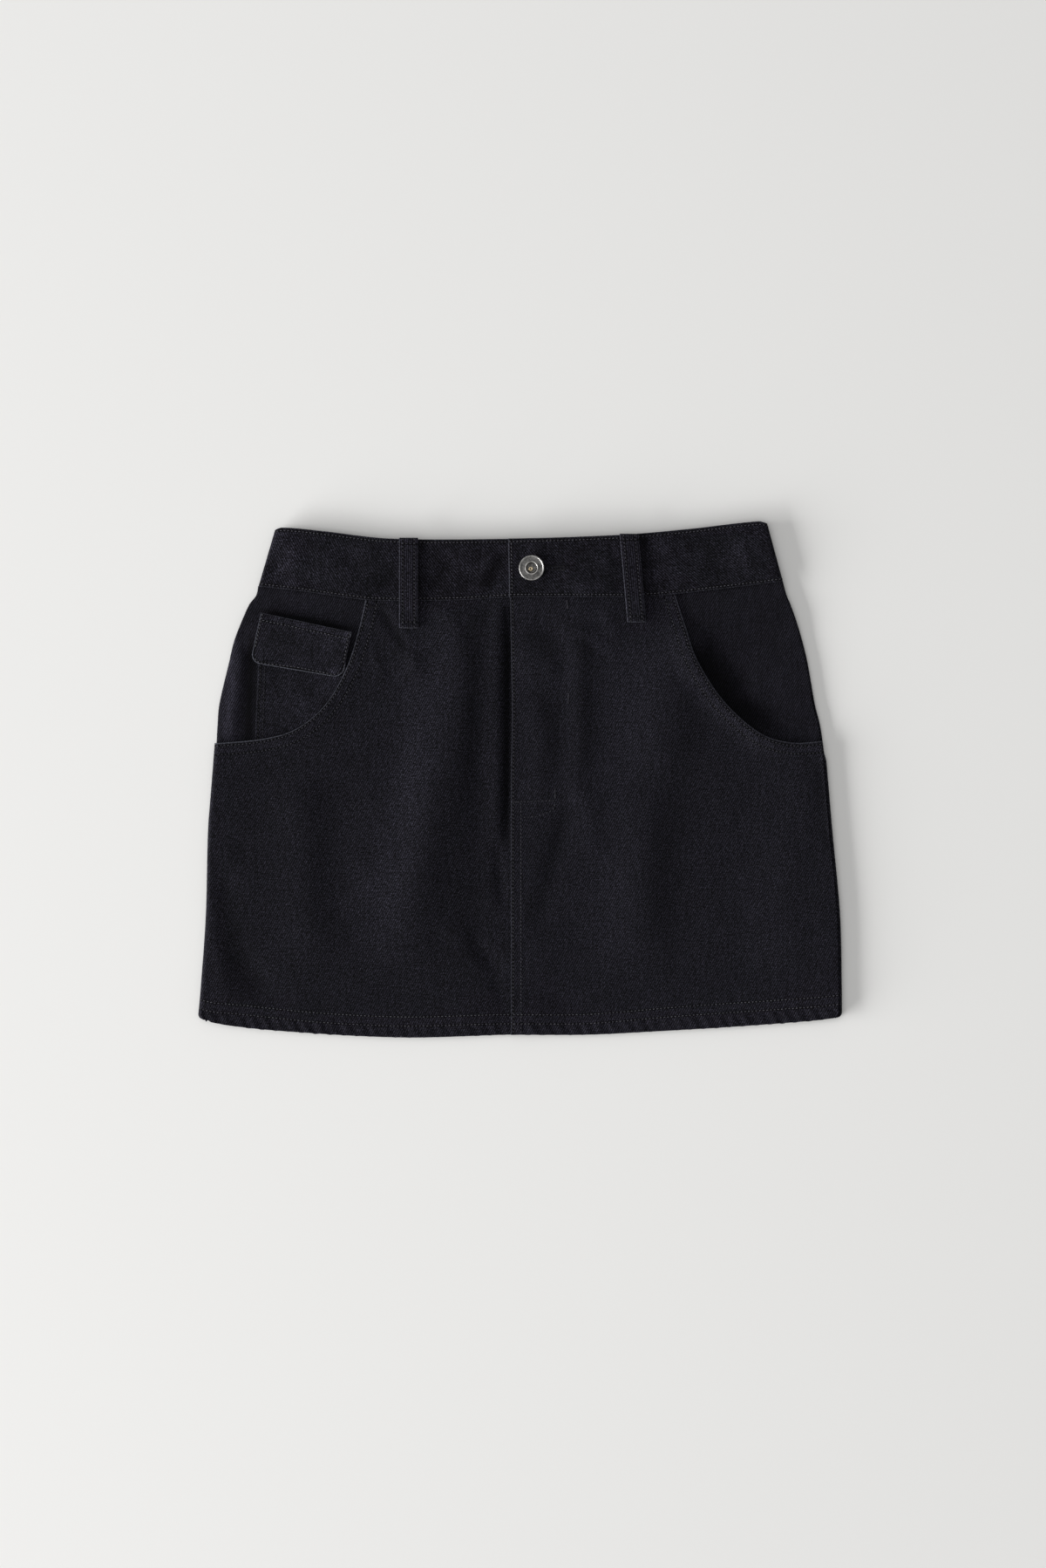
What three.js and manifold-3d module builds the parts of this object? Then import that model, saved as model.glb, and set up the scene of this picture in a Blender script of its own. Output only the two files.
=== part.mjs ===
// Denim mini skirt laid flat on its back, with its front up. Millimetres, +Z up.
// The origin is on the surface below the middle of the skirt, and the waist points to +Y.
// Left and right are the viewer's, looking down on the front.
import * as THREE from "three";
import { mergeVertices } from "three/addons/utils/BufferGeometryUtils.js";
import Module from "manifold-3d";

// Thickness of the cloth, and the gap between pieces that meet
const GAP = 0.3;
const SIDE_HALF_GAP = 0.26;
const DENIM = 1;
const FOLDED = 1.6;
const BAND_CLOTH = 2.2;
const HEM_CLOTH = 2;
const HEM_DEPTH = 15;
const HEM_END = 2;

// Heights of the outer faces above the surface
const FRONT_REST = 5.2;
const SIDE_TOP = 5.8;
const SIDE_EASE = 40;
const BACK_RISE = 2;
const BACK_RISE_HOLD = 22;
const BACK_RISE_EASE = 30;
const BAND_FLOOR = 1.9;
const BAND_TOP = 7;
const BAND_LAP_TOP = 9.6;
const BAND_LAP_HOLD = 40;
const BAND_LAP_EASE = 60;
const SEAM_STEP = 0.9;
const WAIST_EASE = 70;
const FACING_STEP = 1.85;
const FACING_EASE = 45;
const CLEAR = 0.05;

// The right front laps over the left one, down the middle
const LAP_WIDTH = 9;
const LAP_RISE = 0.7;
const LAP_DIP = 0.6;
const LAP_HOLD = 11;
const LAP_EASE = 30;
const HEM_LAP_RISE = 0.7;
const HEM_LAP_DIP = 0.3;
const HEM_LAP_HOLD = 18;
const HEM_LAP_EASE = 14;

// Rounding of the lower corners, and how far the back's lower edge stays behind the front's
const CORNER_RADIUS = 4;
const BACK_HEM_INSET = 0.6;

// Sides from the hem up to the lower ends of the pocket mouths, seen from above
const LOWER_SIDES = [
  { y: -165, left: -221.9, right: 221.8 },
  { y: -143, left: -219.9, right: 221.7 },
  { y: -93, left: -216.4, right: 220.5 },
  { y: -35, left: -214.9, right: 215.2 },
  { y: -6, left: -212.7, right: 212.7 },
  { y: 26, left: -210.2, right: 210 },
];

// Sides above the pocket mouths, where the hip facings form the edge
const HIP_SIDES = [
  { y: 22, left: -209.3, right: 209.2 },
  { y: 37, left: -208.5, right: 206.9 },
  { y: 52, left: -207.2, right: 203.2 },
  { y: 80, left: -200.7, right: 198.3 },
  { y: 95, left: -197.1, right: 194.7 },
  { y: 109, left: -191.7, right: 190.5 },
  { y: 121, left: -186.2, right: 186.2 },
  { y: 127, left: -181.6, right: 183.7 },
  { y: 137, left: -180, right: 180.9 },
];

// Lower edge of the fronts
const HEM_LINE = [
  { x: -222, y: -165 },
  { x: -208, y: -168.7 },
  { x: -160, y: -173.4 },
  { x: -80, y: -177.4 },
  { x: -6, y: -175.5 },
  { x: 45, y: -175.5 },
  { x: 90, y: -173.4 },
  { x: 150, y: -169.9 },
  { x: 205, y: -165.9 },
  { x: 222, y: -164 },
];

// Seam between the waistband and the pieces below it
const WAIST_SEAM = [
  { x: -181, y: 133.1 },
  { x: -150, y: 129.6 },
  { x: -121, y: 125.4 },
  { x: -99, y: 123.1 },
  { x: -41, y: 123.4 },
  { x: -7.5, y: 125.3 },
  { x: 53, y: 125.4 },
  { x: 86, y: 125.8 },
  { x: 131, y: 130.3 },
  { x: 181, y: 136.4 },
];

// Top edge of the waistband
const TOP_EDGE = [
  { x: -169, y: 171.6 },
  { x: -163.5, y: 173.3 },
  { x: -137, y: 171 },
  { x: -89, y: 165.7 },
  { x: -5, y: 165.6 },
  { x: 67, y: 168.1 },
  { x: 115, y: 172.2 },
  { x: 164, y: 177.6 },
  { x: 170, y: 176.2 },
];

// Edge of the right front down the middle
const MIDDLE_EDGE = [
  { y: -176, x: -6.2 },
  { y: -4, x: -6.2 },
  { y: 45, x: -5.5 },
  { y: 123, x: -6.7 },
];

// The two halves. The mouth runs from the side to the waist seam. The seam turn is how far round the
// side's edge the side seam lies, in degrees above the middle: the right one has rolled to the front.
const HALVES = {
  left: {
    sign: -1,
    facingDrop: 2.7,
    seamTurn: 0,
    mouth: [
      { x: -209.5, y: 25.2 },
      { x: -177, y: 28.3 },
      { x: -154, y: 35.5 },
      { x: -134, y: 52.4 },
      { x: -119.5, y: 77.6 },
      { x: -111.3, y: 102.9 },
      { x: -106.5, y: 123.2 },
    ],
    facingEdge: [
      { x: -208.9, y: 23.5 },
      { x: -195, y: 4 },
      { x: -165, y: -9 },
      { x: -125, y: -11 },
      { x: -93, y: -6 },
    ],
    facingTopX: -92,
  },
  right: {
    sign: 1,
    facingDrop: 2,
    seamTurn: 72,
    mouth: [
      { x: 207.9, y: 26.5 },
      { x: 187, y: 25.6 },
      { x: 165, y: 32.4 },
      { x: 140.5, y: 54 },
      { x: 122, y: 82.2 },
      { x: 114.3, y: 104.4 },
      { x: 107.1, y: 126.9 },
    ],
    facingEdge: [
      { x: 208.2, y: 23.5 },
      { x: 195, y: 4 },
      { x: 165, y: -9 },
      { x: 125, y: -11 },
      { x: 93, y: -6 },
    ],
    facingTopX: 92,
  },
};
const SEAM_TURN_FULL_Y = 56;
const SEAM_TURN_EASE = 20;

// Waistband: its ends below the button, and the ends of its top and seam edges, seen from above
const BAND = {
  seamLeft: -180,
  seamRight: 181,
  topLeft: -168.6,
  topRight: 170.2,
  lapSeamX: -7.4,
  lapTopX: -8.1,
  underlapX: 32,
};

// Large soft folds: a line on a piece, how wide it is to its flank, and how high it stands
const FOLDS = [
  { on: "left", fromX: -68, fromY: 100, toX: -66, toY: -70, width: 13, height: 0.7 },
  { on: "left", fromX: -31, fromY: 95, toX: -29, toY: -120, width: 10, height: -0.6 },
  { on: "left", fromX: -92, fromY: 118, toX: -72, toY: 76, width: 6, height: 0.7 },
  { on: "left", fromX: -190, fromY: -128, toX: -168, toY: -150, width: 9, height: -0.5 },
  { on: "left", fromX: -150, fromY: -20, toX: -138, toY: -110, width: 16, height: 0.4 },
  { on: "right", fromX: 44, fromY: 92, toX: 43, toY: -10, width: 8, height: 0.4 },
  { on: "right", fromX: 100, fromY: 60, toX: 84, toY: -90, width: 14, height: 0.5 },
  { on: "right", fromX: 160, fromY: -10, toX: 150, toY: -120, width: 16, height: -0.4 },
  { on: "hip_left", fromX: -189, fromY: 96, toX: -192, toY: 32, width: 5, height: -0.6 },
  { on: "band_left", fromX: -21.5, fromY: 129.6, toX: -12.3, toY: 154, width: 5, height: -0.45 },
  { on: "band_left", fromX: -59, fromY: 128.4, toX: -51, toY: 149, width: 5, height: -0.3 },
];

// Patch pocket on the left facing, and its flap, by their corners
const COIN_POCKET = {
  lowerLeft: [-183.3, 10],
  lowerRight: [-112, 4],
  upperLeft: [-179.6, 92],
  upperRight: [-122, 84],
  corner: 8,
};
const COIN_FLAP = {
  lowerLeft: [-185.7, 80.6],
  lowerRight: [-122, 69.9],
  upperLeft: [-178.1, 114.8],
  upperRight: [-115.8, 101.4],
  corner: 7,
};

// Strip behind the closure
const SHIELD = { width: 29, lowerY: -22, drop: 1.5 };

// Belt loops: middle of the upper and lower end, half the width, and how far the middle stands off
const FRONT_LOOPS = [
  { name: "belt_loop_left", upperX: -76.5, upperY: 166.2, lowerX: -76.5, lowerY: 104, half: "left" },
  { name: "belt_loop_right", upperX: 75, upperY: 168.9, lowerX: 80.4, lowerY: 108, half: "right" },
];
const BACK_LOOPS = [
  { name: "belt_loop_back_left", x: -110 },
  { name: "belt_loop_back_centre", x: 0 },
  { name: "belt_loop_back_right", x: 110 },
];
const LOOP_HALF_WIDTH = 6.5;
const LOOP_BULGE = 0.8;
const BACK_LOOP_DROP = 20;

// Tack button and its buttonhole
const BUTTON = { x: 8, y: 145.3, radius: 8.75, thickness: 2.6, shankRadius: 2.75, hollowRadius: 3.9 };
const RIVET = { radius: 1.7, height: 1.1, offsetX: -0.6, offsetY: -0.7 };
const BUTTONHOLE = { eyeRadius: 3.3, slotHalfWidth: 0.4, slotEndX: 29.5 };

const BLACK_DENIM = { color: 0x201f25, roughness: 0.95, metalness: 0 };
const FADED_DENIM = { color: 0x2a2930, roughness: 0.95, metalness: 0 };
const STEEL = { color: 0x8d8a86, roughness: 0.35, metalness: 1 };
const BRASS = { color: 0xa08c68, roughness: 0.4, metalness: 1 };

// How finely the walls are divided
const FRONT_ROWS = 15;
const BACK_ROWS = 18;
const MOUTH_COLUMNS = 14;
const SEAM_COLUMNS = 12;

const wasm = await Module();
wasm.setup();

// Smooth step from 1 down to 0 as t goes from 0 to 1
function fade(t) {
  return 1 - THREE.MathUtils.smoothstep(t, 0, 1);
}

// Value of one column of a table at a key, through the rows with Catmull-Rom tangents
function readTable(table, keyColumn, column, key) {
  const last = table.length - 1;
  const at = THREE.MathUtils.clamp(key, table[0][keyColumn], table[last][keyColumn]);
  let i = 0;
  while (i < last - 1 && table[i + 1][keyColumn] < at) i++;
  const slope = (k) => {
    const before = table[Math.max(k - 1, 0)];
    const after = table[Math.min(k + 1, last)];
    return (after[column] - before[column]) / (after[keyColumn] - before[keyColumn]);
  };
  const span = table[i + 1][keyColumn] - table[i][keyColumn];
  const t = (at - table[i][keyColumn]) / span;
  const from = table[i][column];
  const to = table[i + 1][column];
  const bend = t * (1 - t);
  const straight = from + (to - from) * t * t * (3 - 2 * t);
  return straight + span * bend * ((1 - t) * slope(i) - t * slope(i + 1));
}

const hemY = (x) => readTable(HEM_LINE, "x", "y", x);
const seamY = (x) => readTable(WAIST_SEAM, "x", "y", x);
const topY = (x) => readTable(TOP_EDGE, "x", "y", x);
const middleX = (y) => readTable(MIDDLE_EDGE, "y", "x", y);
const hipSideX = (half, y) => readTable(HIP_SIDES, "y", half, y);

// Side of the fronts, with the lower corner rounded
function lowerSideX(half, y) {
  const edge = readTable(LOWER_SIDES, "y", half, y);
  const above = Math.min(Math.max(y - hemY(edge), 0), CORNER_RADIUS);
  const inset = CORNER_RADIUS - Math.sqrt(CORNER_RADIUS ** 2 - (CORNER_RADIUS - above) ** 2);
  return edge - HALVES[half].sign * inset;
}

// Side of the back: it follows the facings above the pocket mouths and the fronts below them
function backSideX(half, y) {
  const toHip = THREE.MathUtils.smoothstep(y, 12, 22);
  return THREE.MathUtils.lerp(lowerSideX(half, y), hipSideX(half, y), toHip);
}

// Height that the folds of one piece add at a place
function foldHeight(on, x, y) {
  let height = 0;
  for (const fold of FOLDS.filter((f) => f.on === on)) {
    const from = new THREE.Vector2(fold.fromX, fold.fromY);
    const to = new THREE.Vector2(fold.toX, fold.toY);
    const run = to.clone().sub(from);
    const along = new THREE.Vector2(x, y).sub(from).dot(run) / run.lengthSq();
    const nearest = from.addScaledVector(run, THREE.MathUtils.clamp(along, 0, 1));
    const away = Math.hypot(x - nearest.x, y - nearest.y) / fold.width;
    height += fold.height * Math.exp(-away * away);
  }
  return height;
}

// Outer face of the waistband on the front, and of the lap that it makes on the right
function bandTop(half, x, y) {
  if (half === "left") return BAND_TOP + foldHeight("band_left", x, y);
  return BAND_TOP + (BAND_LAP_TOP - BAND_TOP) * fade((x - BAND_LAP_HOLD) / BAND_LAP_EASE);
}

// Outer face of a front at a place, without the rounding of the side
function frontHeight(half, x, y) {
  const fromSide = HALVES[half].sign * (lowerSideX(half, y) - x);
  const fromMiddle = Math.abs(x - middleX(y));
  const nearHem = fade((y - hemY(x) - HEM_LAP_HOLD) / HEM_LAP_EASE);
  let z = FRONT_REST + (SIDE_TOP - FRONT_REST) * fade(fromSide / SIDE_EASE) + foldHeight(half, x, y);
  if (half === "right") {
    z += (LAP_RISE + HEM_LAP_RISE * nearHem) * fade((fromMiddle - LAP_HOLD) / LAP_EASE);
  } else {
    const beforeLap = Math.max(middleX(y) - x, 0);
    z -= (LAP_DIP + HEM_LAP_DIP * nearHem) * fade(beforeLap / LAP_EASE);
  }
  const atSeam = bandTop(half, x, seamY(x)) - SEAM_STEP;
  return THREE.MathUtils.lerp(z, atSeam, fade((seamY(x) - y) / WAIST_EASE));
}

// Outer face of a hip facing, which lies below the front
function hipHeight(half, x, y) {
  const fromSide = HALVES[half].sign * (hipSideX(half, y) - x);
  const rest = FRONT_REST + (SIDE_TOP - FRONT_REST) * fade(fromSide / SIDE_EASE);
  const overBack = backHeight(x, y) + 2 * DENIM + GAP + CLEAR;
  const atRest = Math.max(rest - HALVES[half].facingDrop, overBack);
  const atSeam = bandTop(half, x, seamY(x)) - FACING_STEP;
  const smooth = THREE.MathUtils.lerp(atRest, atSeam, fade((seamY(x) - y) / FACING_EASE));
  const underFront = frontHeight(half, x, y) - DENIM - GAP - CLEAR;
  return THREE.MathUtils.clamp(smooth + foldHeight("hip_" + half, x, y), overBack, underFront);
}

// Outer face of the back, which rises to the waistband over the belt loops
function backHeight(x, y) {
  return BACK_RISE * fade((seamY(x) - y - BACK_RISE_HOLD) / BACK_RISE_EASE);
}

// How far round the side's edge the side seam lies, in degrees
function seamTurn(half, y) {
  return HALVES[half].seamTurn * fade((y - SEAM_TURN_FULL_Y) / SEAM_TURN_EASE);
}

// Place on the rounded side: an angle round the edge, in degrees above its middle
function roundSide(half, edgeX, y, angle, low, high) {
  const radius = (high - low) / 2;
  const turn = THREE.MathUtils.degToRad(angle);
  const x = edgeX - HALVES[half].sign * radius * (1 - Math.cos(turn));
  return new THREE.Vector3(x, y, low + radius * (1 + Math.sin(turn)));
}

// Direction of a line of points at one of them, allowing for uneven spacing
function direction(before, here, after) {
  const stepIn = here.clone().sub(before);
  const stepOut = after.clone().sub(here);
  const lengthIn = stepIn.length();
  const lengthOut = stepOut.length();
  return stepIn.multiplyScalar(lengthOut / lengthIn).add(stepOut.multiplyScalar(lengthIn / lengthOut));
}

// The same at the first of three points
function startDirection(first, second, third) {
  const step = second.clone().sub(first);
  const next = third.clone().sub(second);
  const share = step.length() / (step.length() + next.length());
  const turned = next.multiplyScalar(step.length() / next.length());
  return step.clone().addScaledVector(step.clone().sub(turned), share);
}

function directionAt(points, i) {
  const last = points.length - 1;
  if (last === 1) return points[1].clone().sub(points[0]);
  if (i === 0) return startDirection(points[0], points[1], points[2]);
  if (i === last) return startDirection(points[last], points[last - 1], points[last - 2]).negate();
  return direction(points[i - 1], points[i], points[i + 1]);
}

// Closed wall of cloth below a grid of outer points, whose rows run left to right seen from outside
function clothWall(outer, thicknessAt = () => DENIM) {
  const rows = outer.length;
  const columns = outer[0].length;
  const end = columns - 1;
  const inner = outer.map((row, j) =>
    row.map((point, i) => {
      const across = directionAt(row, i);
      const up = directionAt(outer.map((other) => other[i]), j);
      const outward = across.cross(up).normalize();
      return point.clone().addScaledVector(outward, -thicknessAt(point));
    }),
  );
  const triangles = [];
  const quad = (a, b, c, d) => triangles.push(a, b, c, a, c, d);
  const outerAt = (j, i) => j * columns + i;
  const innerAt = (j, i) => (rows + j) * columns + i;
  for (let j = 0; j < rows - 1; j++) {
    for (let i = 0; i < columns - 1; i++) {
      quad(outerAt(j, i), outerAt(j, i + 1), outerAt(j + 1, i + 1), outerAt(j + 1, i));
      quad(innerAt(j, i), innerAt(j + 1, i), innerAt(j + 1, i + 1), innerAt(j, i + 1));
    }
  }
  for (let i = 0; i < columns - 1; i++) {
    quad(outerAt(0, i + 1), outerAt(0, i), innerAt(0, i), innerAt(0, i + 1));
    quad(outerAt(rows - 1, i), outerAt(rows - 1, i + 1), innerAt(rows - 1, i + 1), innerAt(rows - 1, i));
  }
  for (let j = 0; j < rows - 1; j++) {
    quad(outerAt(j, 0), outerAt(j + 1, 0), innerAt(j + 1, 0), innerAt(j, 0));
    quad(outerAt(j + 1, end), outerAt(j, end), innerAt(j, end), innerAt(j + 1, end));
  }
  const positions = [...outer, ...inner].flat().flatMap((point) => point.toArray());
  return new THREE.BufferGeometry()
    .setAttribute("position", new THREE.Float32BufferAttribute(positions, 3))
    .setIndex(triangles);
}

// Thickness of a front or the back: more over the turned-up hem
function panelThickness(point) {
  const aboveHem = point.y - hemY(point.x);
  return DENIM + (HEM_CLOTH - DENIM) * fade((aboveHem - HEM_DEPTH + HEM_END / 2) / HEM_END);
}

// Shares of a line's length at which rows cross it: close at the hem, then even
function hemRows(length, evenRows) {
  const close = [0, 3, 9, HEM_DEPTH - HEM_END / 2, HEM_DEPTH + HEM_END / 2, 24].map((d) => d / length);
  const start = close[close.length - 1];
  const even = Array.from({ length: evenRows }, (_, k) => start + ((1 - start) * (k + 1)) / evenRows);
  return [...close, ...even];
}

// Even shares from 0 to 1
function shares(count) {
  return Array.from({ length: count + 1 }, (_, k) => k / count);
}

function splineThrough(points) {
  return new THREE.SplineCurve(points.map(({ x, y }) => new THREE.Vector2(x, y)));
}

// A front: columns fan from the hem to the pocket mouth and the waist seam, and roll over at the side
function makeFront(half) {
  const { sign, mouth } = HALVES[half];
  const mouthCurve = splineThrough(mouth);
  const corner = mouth[mouth.length - 1];
  const lap = half === "left" ? LAP_WIDTH : 0;
  const endX = (y) => middleX(y) + lap;
  const lowerStart = readTable(LOWER_SIDES, "y", half, -165) - sign * CORNER_RADIUS * 0.3;
  const columns = [];
  for (const share of shares(MOUTH_COLUMNS)) {
    const upper = mouthCurve.getPointAt(share);
    const x = THREE.MathUtils.lerp(lowerStart, corner.x * 1.05, share);
    columns.push({ lower: new THREE.Vector2(x, hemY(x)), upper });
  }
  for (const share of shares(SEAM_COLUMNS).slice(1)) {
    const lowerX = THREE.MathUtils.lerp(corner.x * 1.05, endX(-176), share);
    const upperX = THREE.MathUtils.lerp(corner.x, endX(123), share);
    columns.push({
      lower: new THREE.Vector2(lowerX, hemY(lowerX)),
      upper: new THREE.Vector2(upperX, seamY(upperX) - GAP),
    });
  }
  columns[MOUTH_COLUMNS].upper.y = seamY(corner.x) - GAP;
  const rowCount = hemRows(300, FRONT_ROWS).length;
  const grid = [];
  for (let j = 0; j < rowCount; j++) {
    const plan = columns.map(({ lower, upper }) => {
      const share = hemRows(lower.distanceTo(upper), FRONT_ROWS)[j];
      return lower.clone().lerp(upper, share);
    });
    const sideY = plan[0].y;
    const low = backHeight(plan[0].x, sideY);
    const high = frontHeight(half, lowerSideX(half, sideY), sideY);
    const radius = (high - low) / 2;
    const edgeX = lowerSideX(half, sideY);
    const wall = panelThickness(new THREE.Vector2(edgeX, sideY));
    const first = seamTurn(half, sideY) + gapAngle(radius, wall);
    const roll = [0, 1, 2, 3].map((k) => {
      const angle = THREE.MathUtils.lerp(first, 90, k / 4);
      return roundSide(half, edgeX, sideY, angle, low, high);
    });
    const sideShift = edgeX - sign * radius - plan[0].x;
    const endShift = endX(plan[plan.length - 1].y) - plan[plan.length - 1].x;
    const flat = plan.map((place, i) => {
      const share = i / (plan.length - 1);
      const x = place.x + sideShift * (1 - share) ** 3 + endShift * share ** 3;
      return new THREE.Vector3(x, place.y, frontHeight(half, x, place.y));
    });
    const row = [...roll, ...flat];
    grid.push(half === "left" ? row : row.reverse());
  }
  return clothWall(grid, panelThickness);
}

// Half of the side seam's gap as an angle round the side's edge, in degrees
function gapAngle(radius, wall) {
  return THREE.MathUtils.radToDeg(SIDE_HALF_GAP / (radius - wall / 2));
}

// A hip facing: from the waist seam down past the pocket mouth, with its outer edge on the side seam
function makeHipFacing(half) {
  const { sign, facingEdge, facingTopX } = HALVES[half];
  const lowerCurve = splineThrough(facingEdge);
  const topStart = sign * 178;
  const grid = shares(14).map((rise) => {
    const sideY = THREE.MathUtils.lerp(facingEdge[0].y, seamY(topStart) - 2 * GAP, rise);
    const edgeX = hipSideX(half, sideY);
    const low = backHeight(edgeX, sideY);
    const high = hipHeight(half, edgeX, sideY);
    const radius = (high - low) / 2;
    const first = seamTurn(half, sideY) + gapAngle(radius, DENIM);
    const roll = [0, 1, 2].map((k) => {
      const angle = THREE.MathUtils.lerp(first, 90, k / 3);
      return roundSide(half, edgeX, sideY, angle, low, high);
    });
    const flat = shares(12).map((share) => {
      const lower = lowerCurve.getPointAt(share);
      const upperX = THREE.MathUtils.lerp(topStart, facingTopX, share);
      const startX = THREE.MathUtils.lerp(facingEdge[0].x, topStart, rise);
      const shift = edgeX - sign * radius - startX;
      const x = THREE.MathUtils.lerp(lower.x, upperX, rise) + shift * (1 - share) ** 2;
      const y = THREE.MathUtils.lerp(lower.y, seamY(x) - 2 * GAP, rise);
      return new THREE.Vector3(x, y, hipHeight(half, x, y));
    });
    const row = [...roll, ...flat];
    return half === "left" ? row : row.reverse();
  });
  return clothWall(grid);
}

// The back in one piece, lying on the surface: rows run from right to left seen from above
function makeBack() {
  const columnShares = shares(14);
  const rowCount = hemRows(300, BACK_ROWS).length;
  const grid = [];
  const sideRoll = (half, y) => {
    const edgeX = backSideX(half, y);
    const low = backHeight(edgeX, y);
    const lowerHigh = frontHeight(half, edgeX, y);
    const hipHigh = hipHeight(half, edgeX, y);
    const high = THREE.MathUtils.lerp(lowerHigh, hipHigh, THREE.MathUtils.smoothstep(y, 12, 22));
    const radius = (high - low) / 2;
    const wall = panelThickness(new THREE.Vector2(edgeX, y));
    const last = seamTurn(half, y) - gapAngle(radius, wall);
    const steps = half === "right" ? 8 : 5;
    const points = [];
    for (let k = 0; k <= steps; k++) {
      points.push(roundSide(half, edgeX, y, THREE.MathUtils.lerp(-90, last, k / steps), low, high));
    }
    return points;
  };
  for (let j = 0; j < rowCount; j++) {
    const sideLower = hemY(LOWER_SIDES[0].right) + BACK_HEM_INSET;
    const sideUpper = seamY(BAND.seamRight) - 2 * GAP;
    const sideShare = hemRows(sideUpper - sideLower, BACK_ROWS)[j];
    const rightY = THREE.MathUtils.lerp(sideLower, sideUpper, sideShare);
    const leftLower = hemY(LOWER_SIDES[0].left) + BACK_HEM_INSET;
    const leftUpper = seamY(BAND.seamLeft) - 2 * GAP;
    const leftY = THREE.MathUtils.lerp(leftLower, leftUpper, sideShare);
    const right = sideRoll("right", rightY);
    const left = sideRoll("left", leftY);
    const flat = columnShares.slice(1, -1).map((share) => {
      const x = THREE.MathUtils.lerp(right[0].x, left[0].x, share);
      const lower = hemY(x) + BACK_HEM_INSET;
      const upper = seamY(x) - 2 * GAP;
      const y = THREE.MathUtils.lerp(lower, upper, hemRows(upper - lower, BACK_ROWS)[j]);
      return new THREE.Vector3(x, y, backHeight(x, y));
    });
    grid.push([...right.reverse(), ...flat, ...left]);
  }
  return clothWall(grid, panelThickness);
}

// Place on the waistband: ends of the line across it, given at the seam and at the top edge
function bandPlace(seamX, topX, rise) {
  const lower = new THREE.Vector2(seamX, seamY(seamX));
  return lower.lerp(new THREE.Vector2(topX, topY(topX)), rise);
}

// The waistband, from its lap on the right front round the back to the underlap below it
function makeWaistband() {
  const rises = [0, 0.25, 0.5, 0.75, 1];
  const grid = rises.map((rise) => {
    const row = [];
    const sideRadius = (BAND_TOP - BAND_FLOOR) / 2;
    const stretch = (fromSeam, toSeam, fromTop, toTop, steps, heightAt) => {
      for (const share of shares(steps)) {
        const seamX = THREE.MathUtils.lerp(fromSeam, toSeam, share);
        const topX = THREE.MathUtils.lerp(fromTop, toTop, share);
        const place = bandPlace(seamX, topX, rise);
        row.push(new THREE.Vector3(place.x, place.y, heightAt(place.x, place.y)));
      }
    };
    const turn = (half, seamX, topX, fromAngle) => {
      for (const angle of [60, 30, 0, -30, -60].map((a) => (fromAngle > 0 ? a : -a))) {
        const inset = sideRadius * (1 - Math.cos(THREE.MathUtils.degToRad(angle)));
        const place = bandPlace(seamX - HALVES[half].sign * inset, topX - HALVES[half].sign * inset, rise);
        const edgeX = place.x + HALVES[half].sign * inset;
        row.push(roundSide(half, edgeX, place.y, angle, BAND_FLOOR, BAND_TOP));
      }
    };
    const right = [BAND.seamRight - sideRadius, BAND.topRight - sideRadius];
    const left = [BAND.seamLeft + sideRadius, BAND.topLeft + sideRadius];
    stretch(BAND.lapSeamX, right[0], BAND.lapTopX, right[1], 18, (x, y) => bandTop("right", x, y));
    turn("right", BAND.seamRight, BAND.topRight, 90);
    stretch(right[0], left[0], right[1], left[1], 20, () => BAND_FLOOR);
    turn("left", BAND.seamLeft, BAND.topLeft, -90);
    stretch(left[0], BAND.underlapX, left[1], BAND.underlapX, 24, (x, y) => bandTop("left", x, y));
    return row;
  });
  return cutButtonhole(clothWall(grid, () => BAND_CLOTH));
}

function toSolid(geometry) {
  const plain = geometry.clone();
  plain.deleteAttribute("normal");
  plain.deleteAttribute("uv");
  const merged = mergeVertices(plain, 1e-4);
  return new wasm.Manifold(
    new wasm.Mesh({
      numProp: 3,
      vertProperties: merged.attributes.position.array,
      triVerts: new Uint32Array(merged.index.array),
    }),
  );
}

function toGeometry(solid) {
  const mesh = solid.getMesh();
  return new THREE.BufferGeometry()
    .setAttribute("position", new THREE.BufferAttribute(mesh.vertProperties, 3))
    .setIndex(new THREE.BufferAttribute(mesh.triVerts, 1));
}

// A round eye with a slit, through the lap of the waistband only
function cutButtonhole(band) {
  const { eyeRadius, slotHalfWidth, slotEndX } = BUTTONHOLE;
  const opening = Math.asin(slotHalfWidth / eyeRadius);
  const outline = new THREE.Shape();
  outline.absarc(0, 0, eyeRadius, opening, 2 * Math.PI - opening, false);
  outline.lineTo(slotEndX - BUTTON.x, -slotHalfWidth);
  outline.lineTo(slotEndX - BUTTON.x, slotHalfWidth);
  outline.closePath();
  const depth = BAND_CLOTH + 2 * GAP;
  const cutter = new THREE.ExtrudeGeometry(outline, { depth, bevelEnabled: false, curveSegments: 16 });
  cutter.translate(BUTTON.x, BUTTON.y, BAND_LAP_TOP - BAND_CLOTH - GAP / 2);
  return toGeometry(toSolid(band).subtract(toSolid(cutter)));
}

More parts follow.
